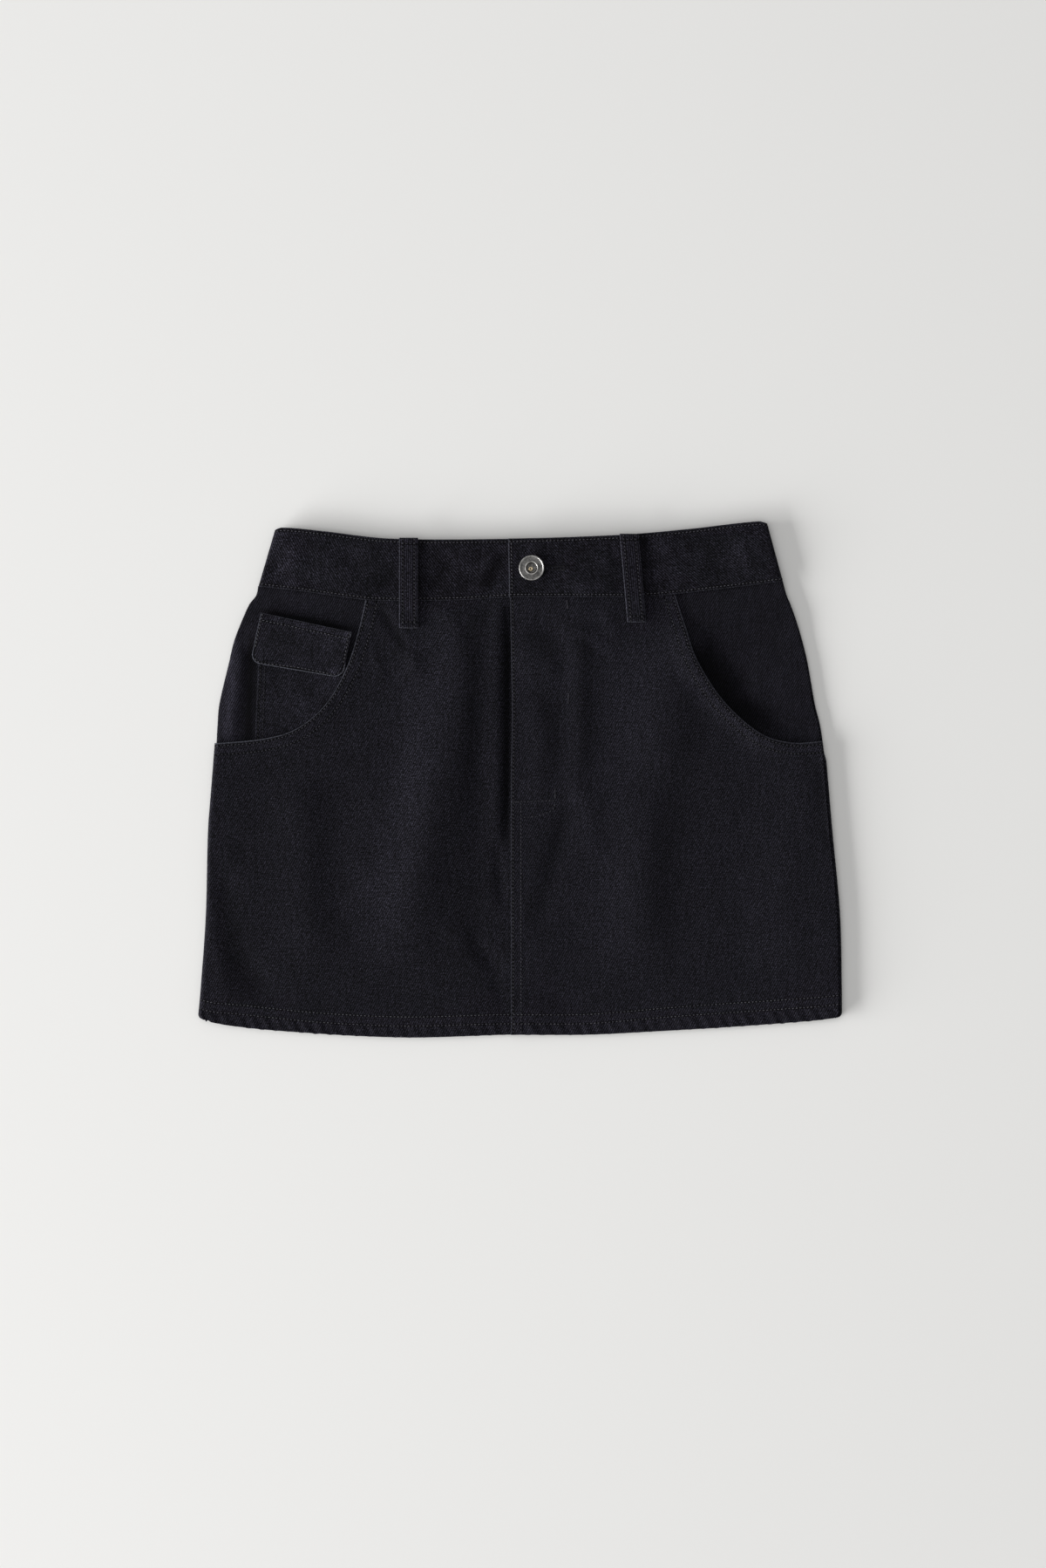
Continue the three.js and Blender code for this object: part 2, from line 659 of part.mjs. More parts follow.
// A flat patch between four corners, with its lower corners rounded, on a surface height
function makePatch(corners, columns, rows, heightAt, thickness) {
  const plan = (list) => new THREE.Vector2(list[0], list[1]);
  const lowerLeft = plan(corners.lowerLeft);
  const lowerRight = plan(corners.lowerRight);
  const upperLeft = plan(corners.upperLeft);
  const upperRight = plan(corners.upperRight);
  const width = lowerLeft.distanceTo(lowerRight);
  const height = lowerLeft.distanceTo(upperLeft);
  const columnShares = roundedShares(corners.corner / width, columns);
  const grid = shares(rows).map((rise) =>
    columnShares.map((share) => {
      const toEdge = Math.min(share, 1 - share) * width;
      const short = Math.max(corners.corner - toEdge, 0);
      const lift = corners.corner - Math.sqrt(corners.corner ** 2 - short ** 2);
      const startRise = Math.min(lift, corners.corner * 0.9) / height;
      const v = startRise + (1 - startRise) * rise;
      const lower = lowerLeft.clone().lerp(lowerRight, share);
      const upper = upperLeft.clone().lerp(upperRight, share);
      const place = lower.lerp(upper, v);
      return new THREE.Vector3(place.x, place.y, heightAt(place.x, place.y));
    }),
  );
  return clothWall(grid, () => thickness);
}

// Shares across a patch, closer together in its rounded corners
function roundedShares(cornerShare, columns) {
  const turn = [0, 0.06, 0.25, 0.55].map((t) => t * cornerShare);
  const middle = shares(columns).map((t) => cornerShare + (1 - 2 * cornerShare) * t);
  const end = turn.map((t) => 1 - t).reverse();
  return [...turn, ...middle, ...end];
}

const pocketHeight = (x, y) => hipHeight("left", x, y) + GAP + DENIM;
const flapHeight = (x, y) => pocketHeight(x, y) + GAP + FOLDED;

// The folded strip behind the closure, beside the lap of the left front
function makeShield() {
  const grid = shares(14).map((rise) =>
    shares(5).map((share) => {
      const startY = THREE.MathUtils.lerp(SHIELD.lowerY, seamY(10) - GAP, rise);
      const x = middleX(startY) + LAP_WIDTH + GAP + SHIELD.width * share;
      const y = THREE.MathUtils.lerp(SHIELD.lowerY, seamY(x) - GAP, rise);
      return new THREE.Vector3(x, y, frontHeight("right", x, y) - SHIELD.drop);
    }),
  );
  return clothWall(grid, () => FOLDED);
}

// A belt loop on the front: a strip over the waistband and its seam, standing off a little in the middle
function makeFrontLoop({ upperX, upperY, lowerX, lowerY, half }) {
  const grid = shares(16).map((rise) => {
    const centreX = THREE.MathUtils.lerp(lowerX, upperX, rise);
    const y = THREE.MathUtils.lerp(lowerY, upperY, rise);
    const bulge = LOOP_BULGE * Math.sin(Math.PI * rise);
    return shares(2).map((share) => {
      const x = centreX + LOOP_HALF_WIDTH * (2 * share - 1);
      const onBand = bandTop(half, x, seamY(x));
      const belowSeam = seamY(x) - y;
      const onFront = frontHeight(half, x, y);
      const carrier = belowSeam <= 0 ? onBand : Math.max(onFront, onBand - SEAM_STEP * (belowSeam / 8));
      return new THREE.Vector3(x, y, Math.max(carrier, onFront) + GAP + FOLDED + bulge);
    });
  });
  return clothWall(grid, () => FOLDED);
}

// A belt loop on the back: it lies flat between the surface and the waistband
function makeBackLoop(x) {
  const lowerY = seamY(x) - BACK_LOOP_DROP;
  const upperY = topY(x) - 1;
  const grid = shares(2).map((rise) =>
    [1, -1].map((side) => {
      const y = THREE.MathUtils.lerp(lowerY, upperY, rise);
      return new THREE.Vector3(x + side * LOOP_HALF_WIDTH, y, 0);
    }),
  );
  return clothWall(grid, () => FOLDED);
}

// Button cap with a rolled rim, a flat ring and a hollow, on its shank
function makeButton() {
  const { radius, thickness, shankRadius, hollowRadius } = BUTTON;
  const shank = BAND_LAP_TOP - BAND_TOP;
  const profile = [
    [0, 0],
    [shankRadius, 0],
    [shankRadius, shank],
    [radius - 0.9, shank],
    [radius - 0.2, shank + 0.4],
    [radius, shank + 1.2],
    [radius - 0.1, shank + thickness - 0.5],
    [radius - 0.5, shank + thickness],
    [radius - 1, shank + thickness - 0.3],
    [hollowRadius + 0.6, shank + thickness - 0.4],
    [hollowRadius + 0.2, shank + thickness - 0.1],
    [hollowRadius - 0.3, shank + thickness - 0.5],
    [hollowRadius - 0.7, shank + 0.9],
    [0, shank + 0.8],
  ];
  return new THREE.LatheGeometry(profile.map(([r, z]) => new THREE.Vector2(r, z)), 40).rotateX(Math.PI / 2);
}

function makeRivet() {
  const { radius, height } = RIVET;
  const profile = [
    [0, 0],
    [radius, 0],
    [radius, height * 0.5],
    [radius * 0.7, height * 0.9],
    [0, height],
  ];
  return new THREE.LatheGeometry(profile.map(([r, z]) => new THREE.Vector2(r, z)), 20).rotateX(Math.PI / 2);
}

const skirt = new THREE.Group();

function addPiece(name, geometry, finish) {
  const mesh = new THREE.Mesh(geometry, new THREE.MeshStandardMaterial(finish));
  mesh.name = name;
  skirt.add(mesh);
  return mesh;
}

addPiece("back_panel", makeBack(), BLACK_DENIM);
addPiece("front_left", makeFront("left"), BLACK_DENIM);
addPiece("front_right", makeFront("right"), BLACK_DENIM);
addPiece("waistband", makeWaistband(), BLACK_DENIM);
addPiece("hip_facing_left", makeHipFacing("left"), BLACK_DENIM);
addPiece("hip_facing_right", makeHipFacing("right"), BLACK_DENIM);
addPiece("coin_pocket", makePatch(COIN_POCKET, 8, 10, pocketHeight, DENIM), BLACK_DENIM);
addPiece("coin_flap", makePatch(COIN_FLAP, 8, 4, flapHeight, FOLDED), FADED_DENIM);
addPiece("fly_shield", makeShield(), BLACK_DENIM);
for (const loop of FRONT_LOOPS) addPiece(loop.name, makeFrontLoop(loop), BLACK_DENIM);
for (const loop of BACK_LOOPS) addPiece(loop.name, makeBackLoop(loop.x), BLACK_DENIM);

const button = addPiece("button", makeButton(), STEEL);
button.position.set(BUTTON.x, BUTTON.y, BAND_TOP + GAP);
const rivet = addPiece("button_rivet", makeRivet(), BRASS);
const hollowFloor = BAND_LAP_TOP + GAP + 0.9;
rivet.position.set(BUTTON.x + RIVET.offsetX, BUTTON.y + RIVET.offsetY, hollowFloor + GAP);

const middle = new THREE.Box3().setFromObject(skirt).getCenter(new THREE.Vector3());
skirt.position.set(-middle.x, -middle.y, 0);

export default skirt;
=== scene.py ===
from math import cos, degrees, exp, hypot, pi, radians, sin, sqrt

import bmesh
import bpy
from mathutils import Matrix, Vector, noise
from mathutils.kdtree import KDTree


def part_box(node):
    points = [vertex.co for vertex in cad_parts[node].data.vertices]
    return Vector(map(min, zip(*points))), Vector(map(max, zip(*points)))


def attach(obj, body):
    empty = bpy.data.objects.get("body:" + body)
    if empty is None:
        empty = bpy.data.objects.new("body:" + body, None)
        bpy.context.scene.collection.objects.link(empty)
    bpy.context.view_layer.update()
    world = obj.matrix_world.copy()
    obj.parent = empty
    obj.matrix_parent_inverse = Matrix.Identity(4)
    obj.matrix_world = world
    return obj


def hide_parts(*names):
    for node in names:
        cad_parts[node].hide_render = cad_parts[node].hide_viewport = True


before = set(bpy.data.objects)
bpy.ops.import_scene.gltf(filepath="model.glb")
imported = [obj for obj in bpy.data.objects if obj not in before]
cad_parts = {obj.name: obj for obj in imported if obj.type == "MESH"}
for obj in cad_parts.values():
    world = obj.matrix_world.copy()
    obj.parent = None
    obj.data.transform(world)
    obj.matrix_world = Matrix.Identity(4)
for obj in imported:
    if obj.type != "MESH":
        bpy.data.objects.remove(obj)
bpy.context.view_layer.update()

# Thickness of the cloth, and the gap between pieces that meet
GAP = 0.3
SIDE_HALF_GAP = 0.26
DENIM = 1.0
FOLDED = 1.6
BAND_CLOTH = 2.2
HEM_CLOTH = 2.0
HEM_DEPTH = 15.0
CLEAR = 0.05
SEAM_TUCK = 0.25

# Heights of the outer faces above the surface
FRONT_REST = 5.2
SIDE_TOP = 5.8
BAND_FLOOR = 1.9
BAND_TOP = 7.0
BAND_LAP_TOP = 9.6
SEAM_STEP = 0.9
BACK_RISE = 2.0

# The right front laps over the left one, down the middle
LAP_WIDTH = 9.0
CORNER_RADIUS = 4.0
BACK_HEM_INSET = 0.6

# Outline and seams, as rows of (key, value)
LOWER_SIDE = {
    "left": [(-165, -221.9), (-143, -219.9), (-93, -216.4), (-35, -214.9), (-6, -212.7), (26, -210.2)],
    "right": [(-165, 221.8), (-143, 221.7), (-93, 220.5), (-35, 215.2), (-6, 212.7), (26, 210)],
}
HIP_SIDE = {
    "left": [
        (22, -209.3),
        (37, -208.5),
        (52, -207.2),
        (80, -200.7),
        (95, -197.1),
        (109, -191.7),
        (121, -186.2),
        (127, -181.6),
        (137, -180),
    ],
    "right": [
        (22, 209.2),
        (37, 206.9),
        (52, 203.2),
        (80, 198.3),
        (95, 194.7),
        (109, 190.5),
        (121, 186.2),
        (127, 183.7),
        (137, 180.9),
    ],
}
HEM_LINE = [
    (-222, -165),
    (-208, -168.7),
    (-160, -173.4),
    (-80, -177.4),
    (-6, -175.5),
    (45, -175.5),
    (90, -173.4),
    (150, -169.9),
    (205, -165.9),
    (222, -164),
]
WAIST_SEAM = [
    (-181, 133.1),
    (-150, 129.6),
    (-121, 125.4),
    (-99, 123.1),
    (-41, 123.4),
    (-7.5, 125.3),
    (53, 125.4),
    (86, 125.8),
    (131, 130.3),
    (181, 136.4),
]
TOP_EDGE = [
    (-169, 171.6),
    (-163.5, 173.3),
    (-137, 171),
    (-89, 165.7),
    (-5, 165.6),
    (67, 168.1),
    (115, 172.2),
    (164, 177.6),
    (170, 176.2),
]
MIDDLE_EDGE = [(-176, -6.2), (-4, -6.2), (45, -5.5), (123, -6.7)]

# The two halves: which way is outwards, how far the facing lies below the front, where the side seam
# lies round the edge, the pocket mouth from the side to the waist, and the facing's lower edge
HALVES = {
    "left": {
        "sign": -1,
        "facing_drop": 2.7,
        "seam_turn": 0,
        "mouth": [
            (-209.5, 25.2),
            (-177, 28.3),
            (-154, 35.5),
            (-134, 52.4),
            (-119.5, 77.6),
            (-111.3, 102.9),
            (-106.5, 123.2),
        ],
        "facing_edge": [(-208.9, 23.5), (-195, 4), (-165, -9), (-125, -11), (-93, -6)],
        "facing_top": -92,
    },
    "right": {
        "sign": 1,
        "facing_drop": 2.0,
        "seam_turn": 72,
        "mouth": [
            (207.9, 26.5),
            (187, 25.6),
            (165, 32.4),
            (140.5, 54),
            (122, 82.2),
            (114.3, 104.4),
            (107.1, 126.9),
        ],
        "facing_edge": [(208.2, 23.5), (195, 4), (165, -9), (125, -11), (93, -6)],
        "facing_top": 92,
    },
}

# Waistband: its ends below the button, and the ends of its top and seam edges
BAND_SEAM_ENDS = (-180, 181)
BAND_TOP_ENDS = (-168.6, 170.2)
LAP_SEAM_X = -7.4
LAP_TOP_X = -8.1
UNDERLAP_X = 32

# Large soft folds, as in the solids: piece, line, width to the flank, height
FOLDS = [
    ("left", [(-68, 100), (-66, -70)], 13, 0.7),
    ("left", [(-31, 95), (-29, -120)], 10, -0.6),
    ("left", [(-92, 118), (-72, 76)], 6, 0.7),
    ("left", [(-190, -128), (-168, -150)], 9, -0.5),
    ("left", [(-150, -20), (-138, -110)], 16, 0.4),
    ("right", [(44, 92), (43, -10)], 8, 0.4),
    ("right", [(100, 60), (84, -90)], 14, 0.5),
    ("right", [(160, -10), (150, -120)], 16, -0.4),
    ("hip_left", [(-189, 96), (-192, 32)], 5, -0.6),
    ("band_left", [(-21.5, 129.6), (-12.3, 154)], 5, -0.45),
    ("band_left", [(-59, 128.4), (-51, 149)], 5, -0.3),
]

# Creases over them, which fade out towards their ends: those on the fronts and the facings
CREASES = [
    ("left", [(-33, 150), (-38, 60), (-57, -28), (-72, -76), (-82, -150)], 21, 2.6),
    ("left", [(-24, 150), (-28, 60), (-30, -30)], 7, -0.6),
    ("left", [(-15.5, 150), (-15, 60), (-15.5, 0), (-17, -60)], 5, 0.6),
    ("left", [(-7.2, 170), (-7.2, 80), (-8, 0), (-9, -64)], 3.8, -1.7),
    ("left", [(-17, -36), (-11, -92)], 4, -0.9),
    ("left", [(-38, -104), (-9, -136)], 5, -0.8),
    ("left", [(-26, -118), (-9, -156)], 4.5, -0.5),
    ("left", [(-50, -92), (-28, -134)], 8, 0.5),
    ("left", [(-208, -50), (-202, -90), (-190, -130), (-174, -156)], 11, -1.1),
    ("left", [(-214, -50), (-210, -110), (-200, -158)], 6, 0.5),
    ("left", [(-126, 10), (-127, -110)], 15, -0.8),
    ("left", [(-152, 20), (-150, -60), (-142, -140)], 16, 0.9),
    ("left", [(-103, 128), (-88, 106), (-73, 84)], 3.6, -1.0),
    ("left", [(-92, 124), (-80, 98), (-68, 70)], 5, 0.7),
    ("left", [(-104, 90), (-90, 70)], 3.6, 0.5),
    ("left", [(-96, 82), (-84, 66)], 3.4, -0.4),
    ("left", [(-66, 126), (-40, 104)], 4.4, 0.5),
    ("left", [(-40, 112), (-30, 92)], 4, -0.4),
    ("left", [(-104, 106), (-118, 72), (-136, 46), (-164, 29), (-200, 24)], 6, 0.6),
    ("right", [(30, 118), (40, 88), (41, 20), (33, -22)], 8, 0.8),
    ("right", [(116, 118), (108, 60), (98, -10)], 24, 1.9),
    ("right", [(-6, 84), (30, 78)], 10, 0.9),
    ("right", [(6, 108), (30, 100)], 7, -0.5),
    ("right", [(9, 60), (15, 20), (12, -20)], 8, 0.7),
    ("right", [(38, -8), (28, -40), (17, -80), (9, -116)], 7, -0.8),
    ("right", [(46, 0), (50, -56)], 9, 0.8),
    ("right", [(78, 10), (84, -60), (86, -140)], 19, 1.3),
    ("right", [(56, 120), (68, 92)], 6, 0.5),
    ("right", [(36, 104), (52, 95), (74, 80)], 4.4, 0.5),
    ("right", [(186, -30), (184, -140)], 14, 0.6),
    ("right", [(208, 20), (204, -50)], 6, -0.5),
    ("right", [(108, 116), (120, 80), (141, 51), (166, 30), (200, 22)], 9, 2.6),
    ("hip_right", [(182, 26), (152, 48), (132, 78), (122, 102)], 16, -1.6),
    ("hip_right", [(172, 92), (160, 50), (164, 34)], 7, 0.9),
    ("hip_left", [(-200, 20), (-195, 60), (-190, 104)], 6, 1.2),
    ("hip_left", [(-184.5, 104), (-185.5, 60), (-188, 20)], 4, -1.3),
    ("band_left", [(-30, 128), (-16, 162)], 5, 0.45),
    ("band_left", [(-98, 128), (-84, 144)], 5, -0.5),
    ("band_left", [(-84, 168), (-92, 146)], 5, 0.3),
    ("band_left", [(-166, 172), (-148, 142)], 7, 0.6),
    ("band_left", [(-146, 174), (-132, 144)], 7, 0.5),
    ("band_left", [(-172, 150), (-160, 132)], 6, -0.4),
    ("band_left", [(-122, 170), (-108, 132)], 7, -0.5),
    ("band_left", [(-44, 168), (-34, 140)], 8, 0.5),
    ("band_right", [(30, 146), (50, 126)], 6, 0.45),
    ("band_right", [(52, 164), (64, 136)], 7, 0.4),
    ("band_right", [(96, 170), (106, 138)], 9, 0.5),
    ("band_right", [(122, 172), (132, 138)], 8, -0.4),
    ("band_right", [(148, 176), (160, 142)], 8, 0.4),
    ("back", [(-150, 80), (-120, -140)], 16, 0.9),
    ("back", [(-70, 110), (-60, -80)], 12, 0.8),
    ("back", [(10, 110), (0, -110)], 15, 1.0),
    ("back", [(80, 90), (96, -130)], 13, 0.9),
    ("back", [(150, 60), (140, -100)], 14, 0.8),
    ("back", [(40, -50), (60, -150)], 7, 0.6),
    ("back", [(-40, -60), (-60, -154)], 8, 0.6),
]

# Soft patches of painted light and shade, on the lit and shaded flanks of folds, in the shadows beside the belt loops,
# above the coin flap and in the right pocket mouth, and at the coin flap's corners also wear: the last value is the
# change of shade
PAINTED_SHADE_AND_WEAR_PATCHES = [
    ("left", [(-50, 140), (-62, 50), (-84, -28), (-97, -76), (-102, -150)], 16, 0.4),
    ("left", [(-34, 140), (-33, 60), (-38, -20)], 7, -0.22),
    ("left", [(-9, 118), (-9, 80), (-9.2, 0), (-10, -56)], 2.6, -0.7),
    ("left", [(-204, -60), (-192, -124), (-178, -156)], 9, -0.25),
    ("left", [(-212, -60), (-208, -140)], 5, 0.2),
    ("left", [(-34, -60), (-40, -140)], 14, -0.15),
    ("left", [(-102, 128), (-86, 104), (-74, 82)], 3.6, -0.4),
    ("left", [(-96, 128), (-80, 104), (-66, 80)], 3.6, 0.25),
    ("left", [(-74, 100), (-58, 126)], 6, 0.15),
    ("right", [(80, 110), (72, 50), (62, -40)], 17, 0.22),
    ("right", [(57, -30), (62, -140)], 14, 0.18),
    ("right", [(118, 70), (110, 0), (100, -60), (98, -150)], 14, -0.2),
    ("right", [(2, 104), (28, 84)], 9, -0.28),
    ("right", [(20, 60), (26, 10)], 7, -0.25),
    ("right", [(34, 118), (44, 88), (45, 40), (40, -10)], 6, -0.25),
    ("right", [(34, -10), (12, -100)], 7, -0.22),
    ("right", [(-2, 78), (12, 60)], 5, 0.2),
    ("right", [(54, 120), (70, 96)], 6, 0.22),
    ("right", [(34, 106), (50, 97), (72, 82)], 3.6, 0.25),
    ("right", [(36, 98), (52, 88), (66, 78)], 3.6, -0.2),
    ("right", [(206, 18), (212, -60)], 5, -0.35),
    ("right", [(150, -20), (156, -150)], 16, 0.08),
    ("hip_right", [(122, 100), (131, 76), (148, 53), (184, 27)], 10, -0.7),
    ("hip_right", [(174, 96), (172, 46)], 11, 0.15),
    ("hip_left", [(-184.5, 104), (-186, 60), (-188, 14)], 4, -0.8),
    ("hip_left", [(-186, 118.2), (-108, 101.6)], 2.3, -0.8),
    ("hip_left", [(-172, 128), (-130, 116)], 6, 0.2),
    ("hip_left", [(-196, 104), (-200, 14)], 6.5, 1.0),
    ("pocket", [(-160, 60), (-140, 20)], 12, 0.12),
    ("pocket", [(-176, 60), (-172, 20)], 6, 0.1),
    ("flap", [(-178, 88), (-126, 76)], 5, 0.18),
    ("flap", [(-184, 113), (-112, 98)], 2.4, 0.45),
    ("flap", [(-121, 102), (-116, 95)], 3, 1.6),
    ("flap", [(-132, 75), (-119, 71)], 2.6, 1.3),
    ("flap", [(-182, 116), (-180, 106)], 2.4, 1.0),
    ("flap", [(-168, 98), (-140, 94)], 8, -0.15),
    ("band_left", [(-174, 176), (-152, 138)], 10, 0.5),
    ("band_left", [(-140, 172), (-130, 146)], 6, 0.25),
    ("band_left", [(-120, 166), (-108, 136)], 7, 0.25),
    ("band_left", [(-98, 128), (-84, 146)], 5, -0.35),
    ("band_left", [(-174, 142), (-146, 134)], 6, 0.2),
    ("band_left", [(-60, 126), (-50, 154)], 4.5, -0.3),
    ("band_left", [(-42, 164), (-32, 136)], 8, 0.2),
    ("band_left", [(-24, 126), (-10, 160)], 4.5, -0.45),
    ("band_left", [(-68, 178), (-68, 112)], 2.6, -0.5),
    ("band_right", [(83.5, 178), (88.5, 112)], 2.6, -0.5),
    ("band_right", [(36, 136), (56, 126)], 6, 0.2),
    ("band_right", [(54, 166), (64, 138)], 7, 0.2),
    ("band_right", [(98, 170), (110, 140)], 10, 0.2),
    ("band_right", [(124, 174), (132, 140)], 7, -0.2),
    ("band_right", [(142, 176), (156, 146)], 9, 0.18),
]

# Patch pocket on the left facing, and its flap, by their corners
COIN_POCKET = {
    "lower_left": (-183.3, 10),
    "lower_right": (-112, 4),
    "upper_left": (-179.6, 92),
    "upper_right": (-122, 84),
    "corner": 8,
}
COIN_FLAP = {
    "lower_left": (-185.7, 80.6),
    "lower_right": (-122, 69.9),
    "upper_left": (-178.1, 114.8),
    "upper_right": (-115.8, 101.4),
    "corner": 7,
}
SHIELD_WIDTH = 29
SHIELD_LOWER_Y = -22
SHIELD_DROP = 1.5

# Belt loops
FRONT_LOOPS = [
    ("belt_loop_left", (-76.5, 166.2), (-76.5, 104), "left"),
    ("belt_loop_right", (75, 168.9), (80.4, 108), "right"),
]
BACK_LOOPS = [("belt_loop_back_left", -110), ("belt_loop_back_centre", 0), ("belt_loop_back_right", 110)]
LOOP_HALF_WIDTH = 6.5
LOOP_BULGE = 0.8
BACK_LOOP_DROP = 20

# Button and buttonhole
BUTTON_X = 8.0
BUTTON_Y = 145.3
SLOT_END_X = 29.5

# Where the hem's upper row of stitches lies above the edge, and the lower one below it
HEM_ROW = [
    (-222, 14.1), (-190, 15.6), (-140, 14.4), (-40, 14.2), (-6, 13.9), (45, 14), (120, 16.2), (222, 16.1)
]
HEM_ROW_STEP = 6.3

# The plan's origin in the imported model, whose box is centred
button_low, button_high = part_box("button")
SHIFT = (button_low + button_high) / 2 - Vector((BUTTON_X, BUTTON_Y, 0)) / 1000


def in_model(x, y, z):
    return Vector((x / 1000 + SHIFT.x, y / 1000 + SHIFT.y, z / 1000))


def mix(a, b, share):
    return a + (b - a) * share


def limit(value, low, high):
    return min(max(value, low), high)


def ease(t):
    t = limit(t, 0, 1)
    return t * t * (3 - 2 * t)


def fade(t):
    return 1 - ease(t)


def read_rows(rows, key):
    """Value at a key, smoothly through rows of (key, value)."""
    last = len(rows) - 1
    at = limit(key, rows[0][0], rows[last][0])
    i = 0
    while i < last - 1 and rows[i + 1][0] < at:
        i += 1

    def slope(k):
        before, after = rows[max(k - 1, 0)], rows[min(k + 1, last)]
        return (after[1] - before[1]) / (after[0] - before[0])

    (start, low), (end, high) = rows[i], rows[i + 1]
    t = (at - start) / (end - start)
    return mix(low, high, t * t * (3 - 2 * t)) + (end - start) * t * (1 - t) * (
        (1 - t) * slope(i) - t * slope(i + 1)
    )


def hem_y(x):
    return read_rows(HEM_LINE, x)


def seam_y(x):
    return read_rows(WAIST_SEAM, x)


def top_y(x):
    return read_rows(TOP_EDGE, x)


def middle_x(y):
    return read_rows(MIDDLE_EDGE, y)


def lower_side_x(half, y):
    edge = read_rows(LOWER_SIDE[half], y)
    above = limit(y - hem_y(edge), 0, CORNER_RADIUS)
    inset = CORNER_RADIUS - sqrt(CORNER_RADIUS**2 - (CORNER_RADIUS - above) ** 2)
    return edge - HALVES[half]["sign"] * inset


def hip_side_x(half, y):
    return read_rows(HIP_SIDE[half], y)


def back_side_x(half, y):
    return mix(lower_side_x(half, y), hip_side_x(half, y), ease((y - 12) / 10))


def stretches(folds):
    """The straight stretches of each piece's folds."""
    found = {}
    for piece, points, width, rise in folds:
        parts = [(a, (b[0] - a[0], b[1] - a[1])) for a, b in zip(points, points[1:])]
        found.setdefault(piece, []).append((parts, width, rise))
    return found


SOLID_FOLDS = stretches(FOLDS)
SCENE_CREASES = stretches(CREASES)
SCENE_PAINTED_SHADE_AND_WEAR = stretches(PAINTED_SHADE_AND_WEAR_PATCHES)


def fold_height(folds, piece, x, y):
    height = 0
    for parts, width, rise in folds.get(piece, ()):
        away, reached = 99, 0
        for k, (start, run) in enumerate(parts):
            along_it = ((x - start[0]) * run[0] + (y - start[1]) * run[1]) / (run[0] ** 2 + run[1] ** 2)
            along_it = limit(along_it, 0, 1)
            off = hypot(x - start[0] - run[0] * along_it, y - start[1] - run[1] * along_it) / width
            if off < away:
                away, reached = off, (k + along_it) / len(parts)
        if away < 3:
            taper = 1 if folds is SOLID_FOLDS else ease(4 * min(reached, 1 - reached))
            height += rise * taper * exp(-away * away)
    return height


def painted_shade_and_wear(piece, x, y):
    """How much lighter or darker than its own shade the cloth is here: painted light and shade, and at the coin flap's
    corners also wear.
    """
    return fold_height(SCENE_PAINTED_SHADE_AND_WEAR, piece, x, y)


def ripple(x, y):
    """The cloth's slight unevenness, the same on pieces that lie on each other."""
    return 0.16 * noise.noise(
        Vector((x / 34, y / 46, 1.7))
    ) + 0.07 * noise.noise(Vector((x / 11, y / 15, 8.3)))


def hem_roping(x, y):
    """The slanting ripples that the turned-up hem makes below its lower row of stitches."""
    above = y - hem_y(x)
    reach = fade((above - 6.5) / 3.5) * ease(above / 1.5 + 0.3)
    if reach <= 0:
        return 0
    wander = 2.2 * noise.noise(Vector((x / 27, 0.4, 3.1)))
    return 0.42 * reach * sin(2 * pi * (x + 0.55 * above + wander) / 9.2) * (
        0.65 + 0.5 * noise.noise(Vector((x / 19, 5.2, 0)))
    )


def band_top(half, x, y):
    crease = fold_height(SCENE_CREASES, "band_" + half, x, y)
    if half == "left":
        return BAND_TOP + fold_height(SOLID_FOLDS, "band_left", x, y) + crease
    return BAND_TOP + (BAND_LAP_TOP - BAND_TOP) * fade((x - 40) / 60) + crease


def front_height(half, x, y):
    sign = HALVES[half]["sign"]
    from_side = sign * (lower_side_x(half, y) - x)
    from_middle = abs(x - middle_x(y))
    near_hem = fade((y - hem_y(x) - 18) / 14)
    z = FRONT_REST + (SIDE_TOP - FRONT_REST) * fade(from_side / 40) + fold_height(SOLID_FOLDS, half, x, y)
    if half == "right":
        z += (0.7 + 0.7 * near_hem) * fade((from_middle - 11) / 30)
    else:
        z -= (0.6 + 0.3 * near_hem) * fade(max(middle_x(y) - x, 0) / 30)
    z += ripple(x, y) * ease(from_side / 12) * ease((seam_y(x) - y) / 25)
    at_seam = band_top(half, x, seam_y(x)) - SEAM_STEP
    crease = fold_height(SCENE_CREASES, half, x, y) * ease((seam_y(x) - y) / 9) * ease((from_side + 4) / 10)
    return mix(z, at_seam, fade((seam_y(x) - y) / 70)) + crease + hem_roping(x, y)


def back_height(x, y):
    return BACK_RISE * fade((seam_y(x) - y - 22) / 30)


def hip_height(half, x, y):
    from_side = HALVES[half]["sign"] * (hip_side_x(half, y) - x)
    rest = FRONT_REST + (SIDE_TOP - FRONT_REST) * fade(from_side / 40)
    over_back = back_height(x, y) + 2 * DENIM + GAP + CLEAR
    at_rest = max(rest - HALVES[half]["facing_drop"], over_back)
    at_seam = band_top(half, x, seam_y(x)) - 1.85
    smooth = mix(at_rest, at_seam, fade((seam_y(x) - y) / 45))
    crease = fold_height(SOLID_FOLDS, "hip_" + half, x, y) + fold_height(SCENE_CREASES, "hip_" + half, x, y)
    under_front = front_height(half, x, y) - DENIM - GAP - CLEAR
    return max(min(smooth + crease, under_front), over_back)


def seam_turn(half, y):
    return HALVES[half]["seam_turn"] * fade((y - 56) / 20)


def gap_angle(radius, wall):
    return degrees(SIDE_HALF_GAP / (radius - wall / 2))


def round_side(half, edge_x, y, angle, low, high):
    radius = (high - low) / 2
    x = edge_x - HALVES[half]["sign"] * radius * (1 - cos(radians(angle)))
    return Vector((x, y, low + radius * (1 + sin(radians(angle)))))


def panel_wall(x, y):
    return DENIM + (HEM_CLOTH - DENIM) * fade((y - hem_y(x) - HEM_DEPTH + 1) / 2)


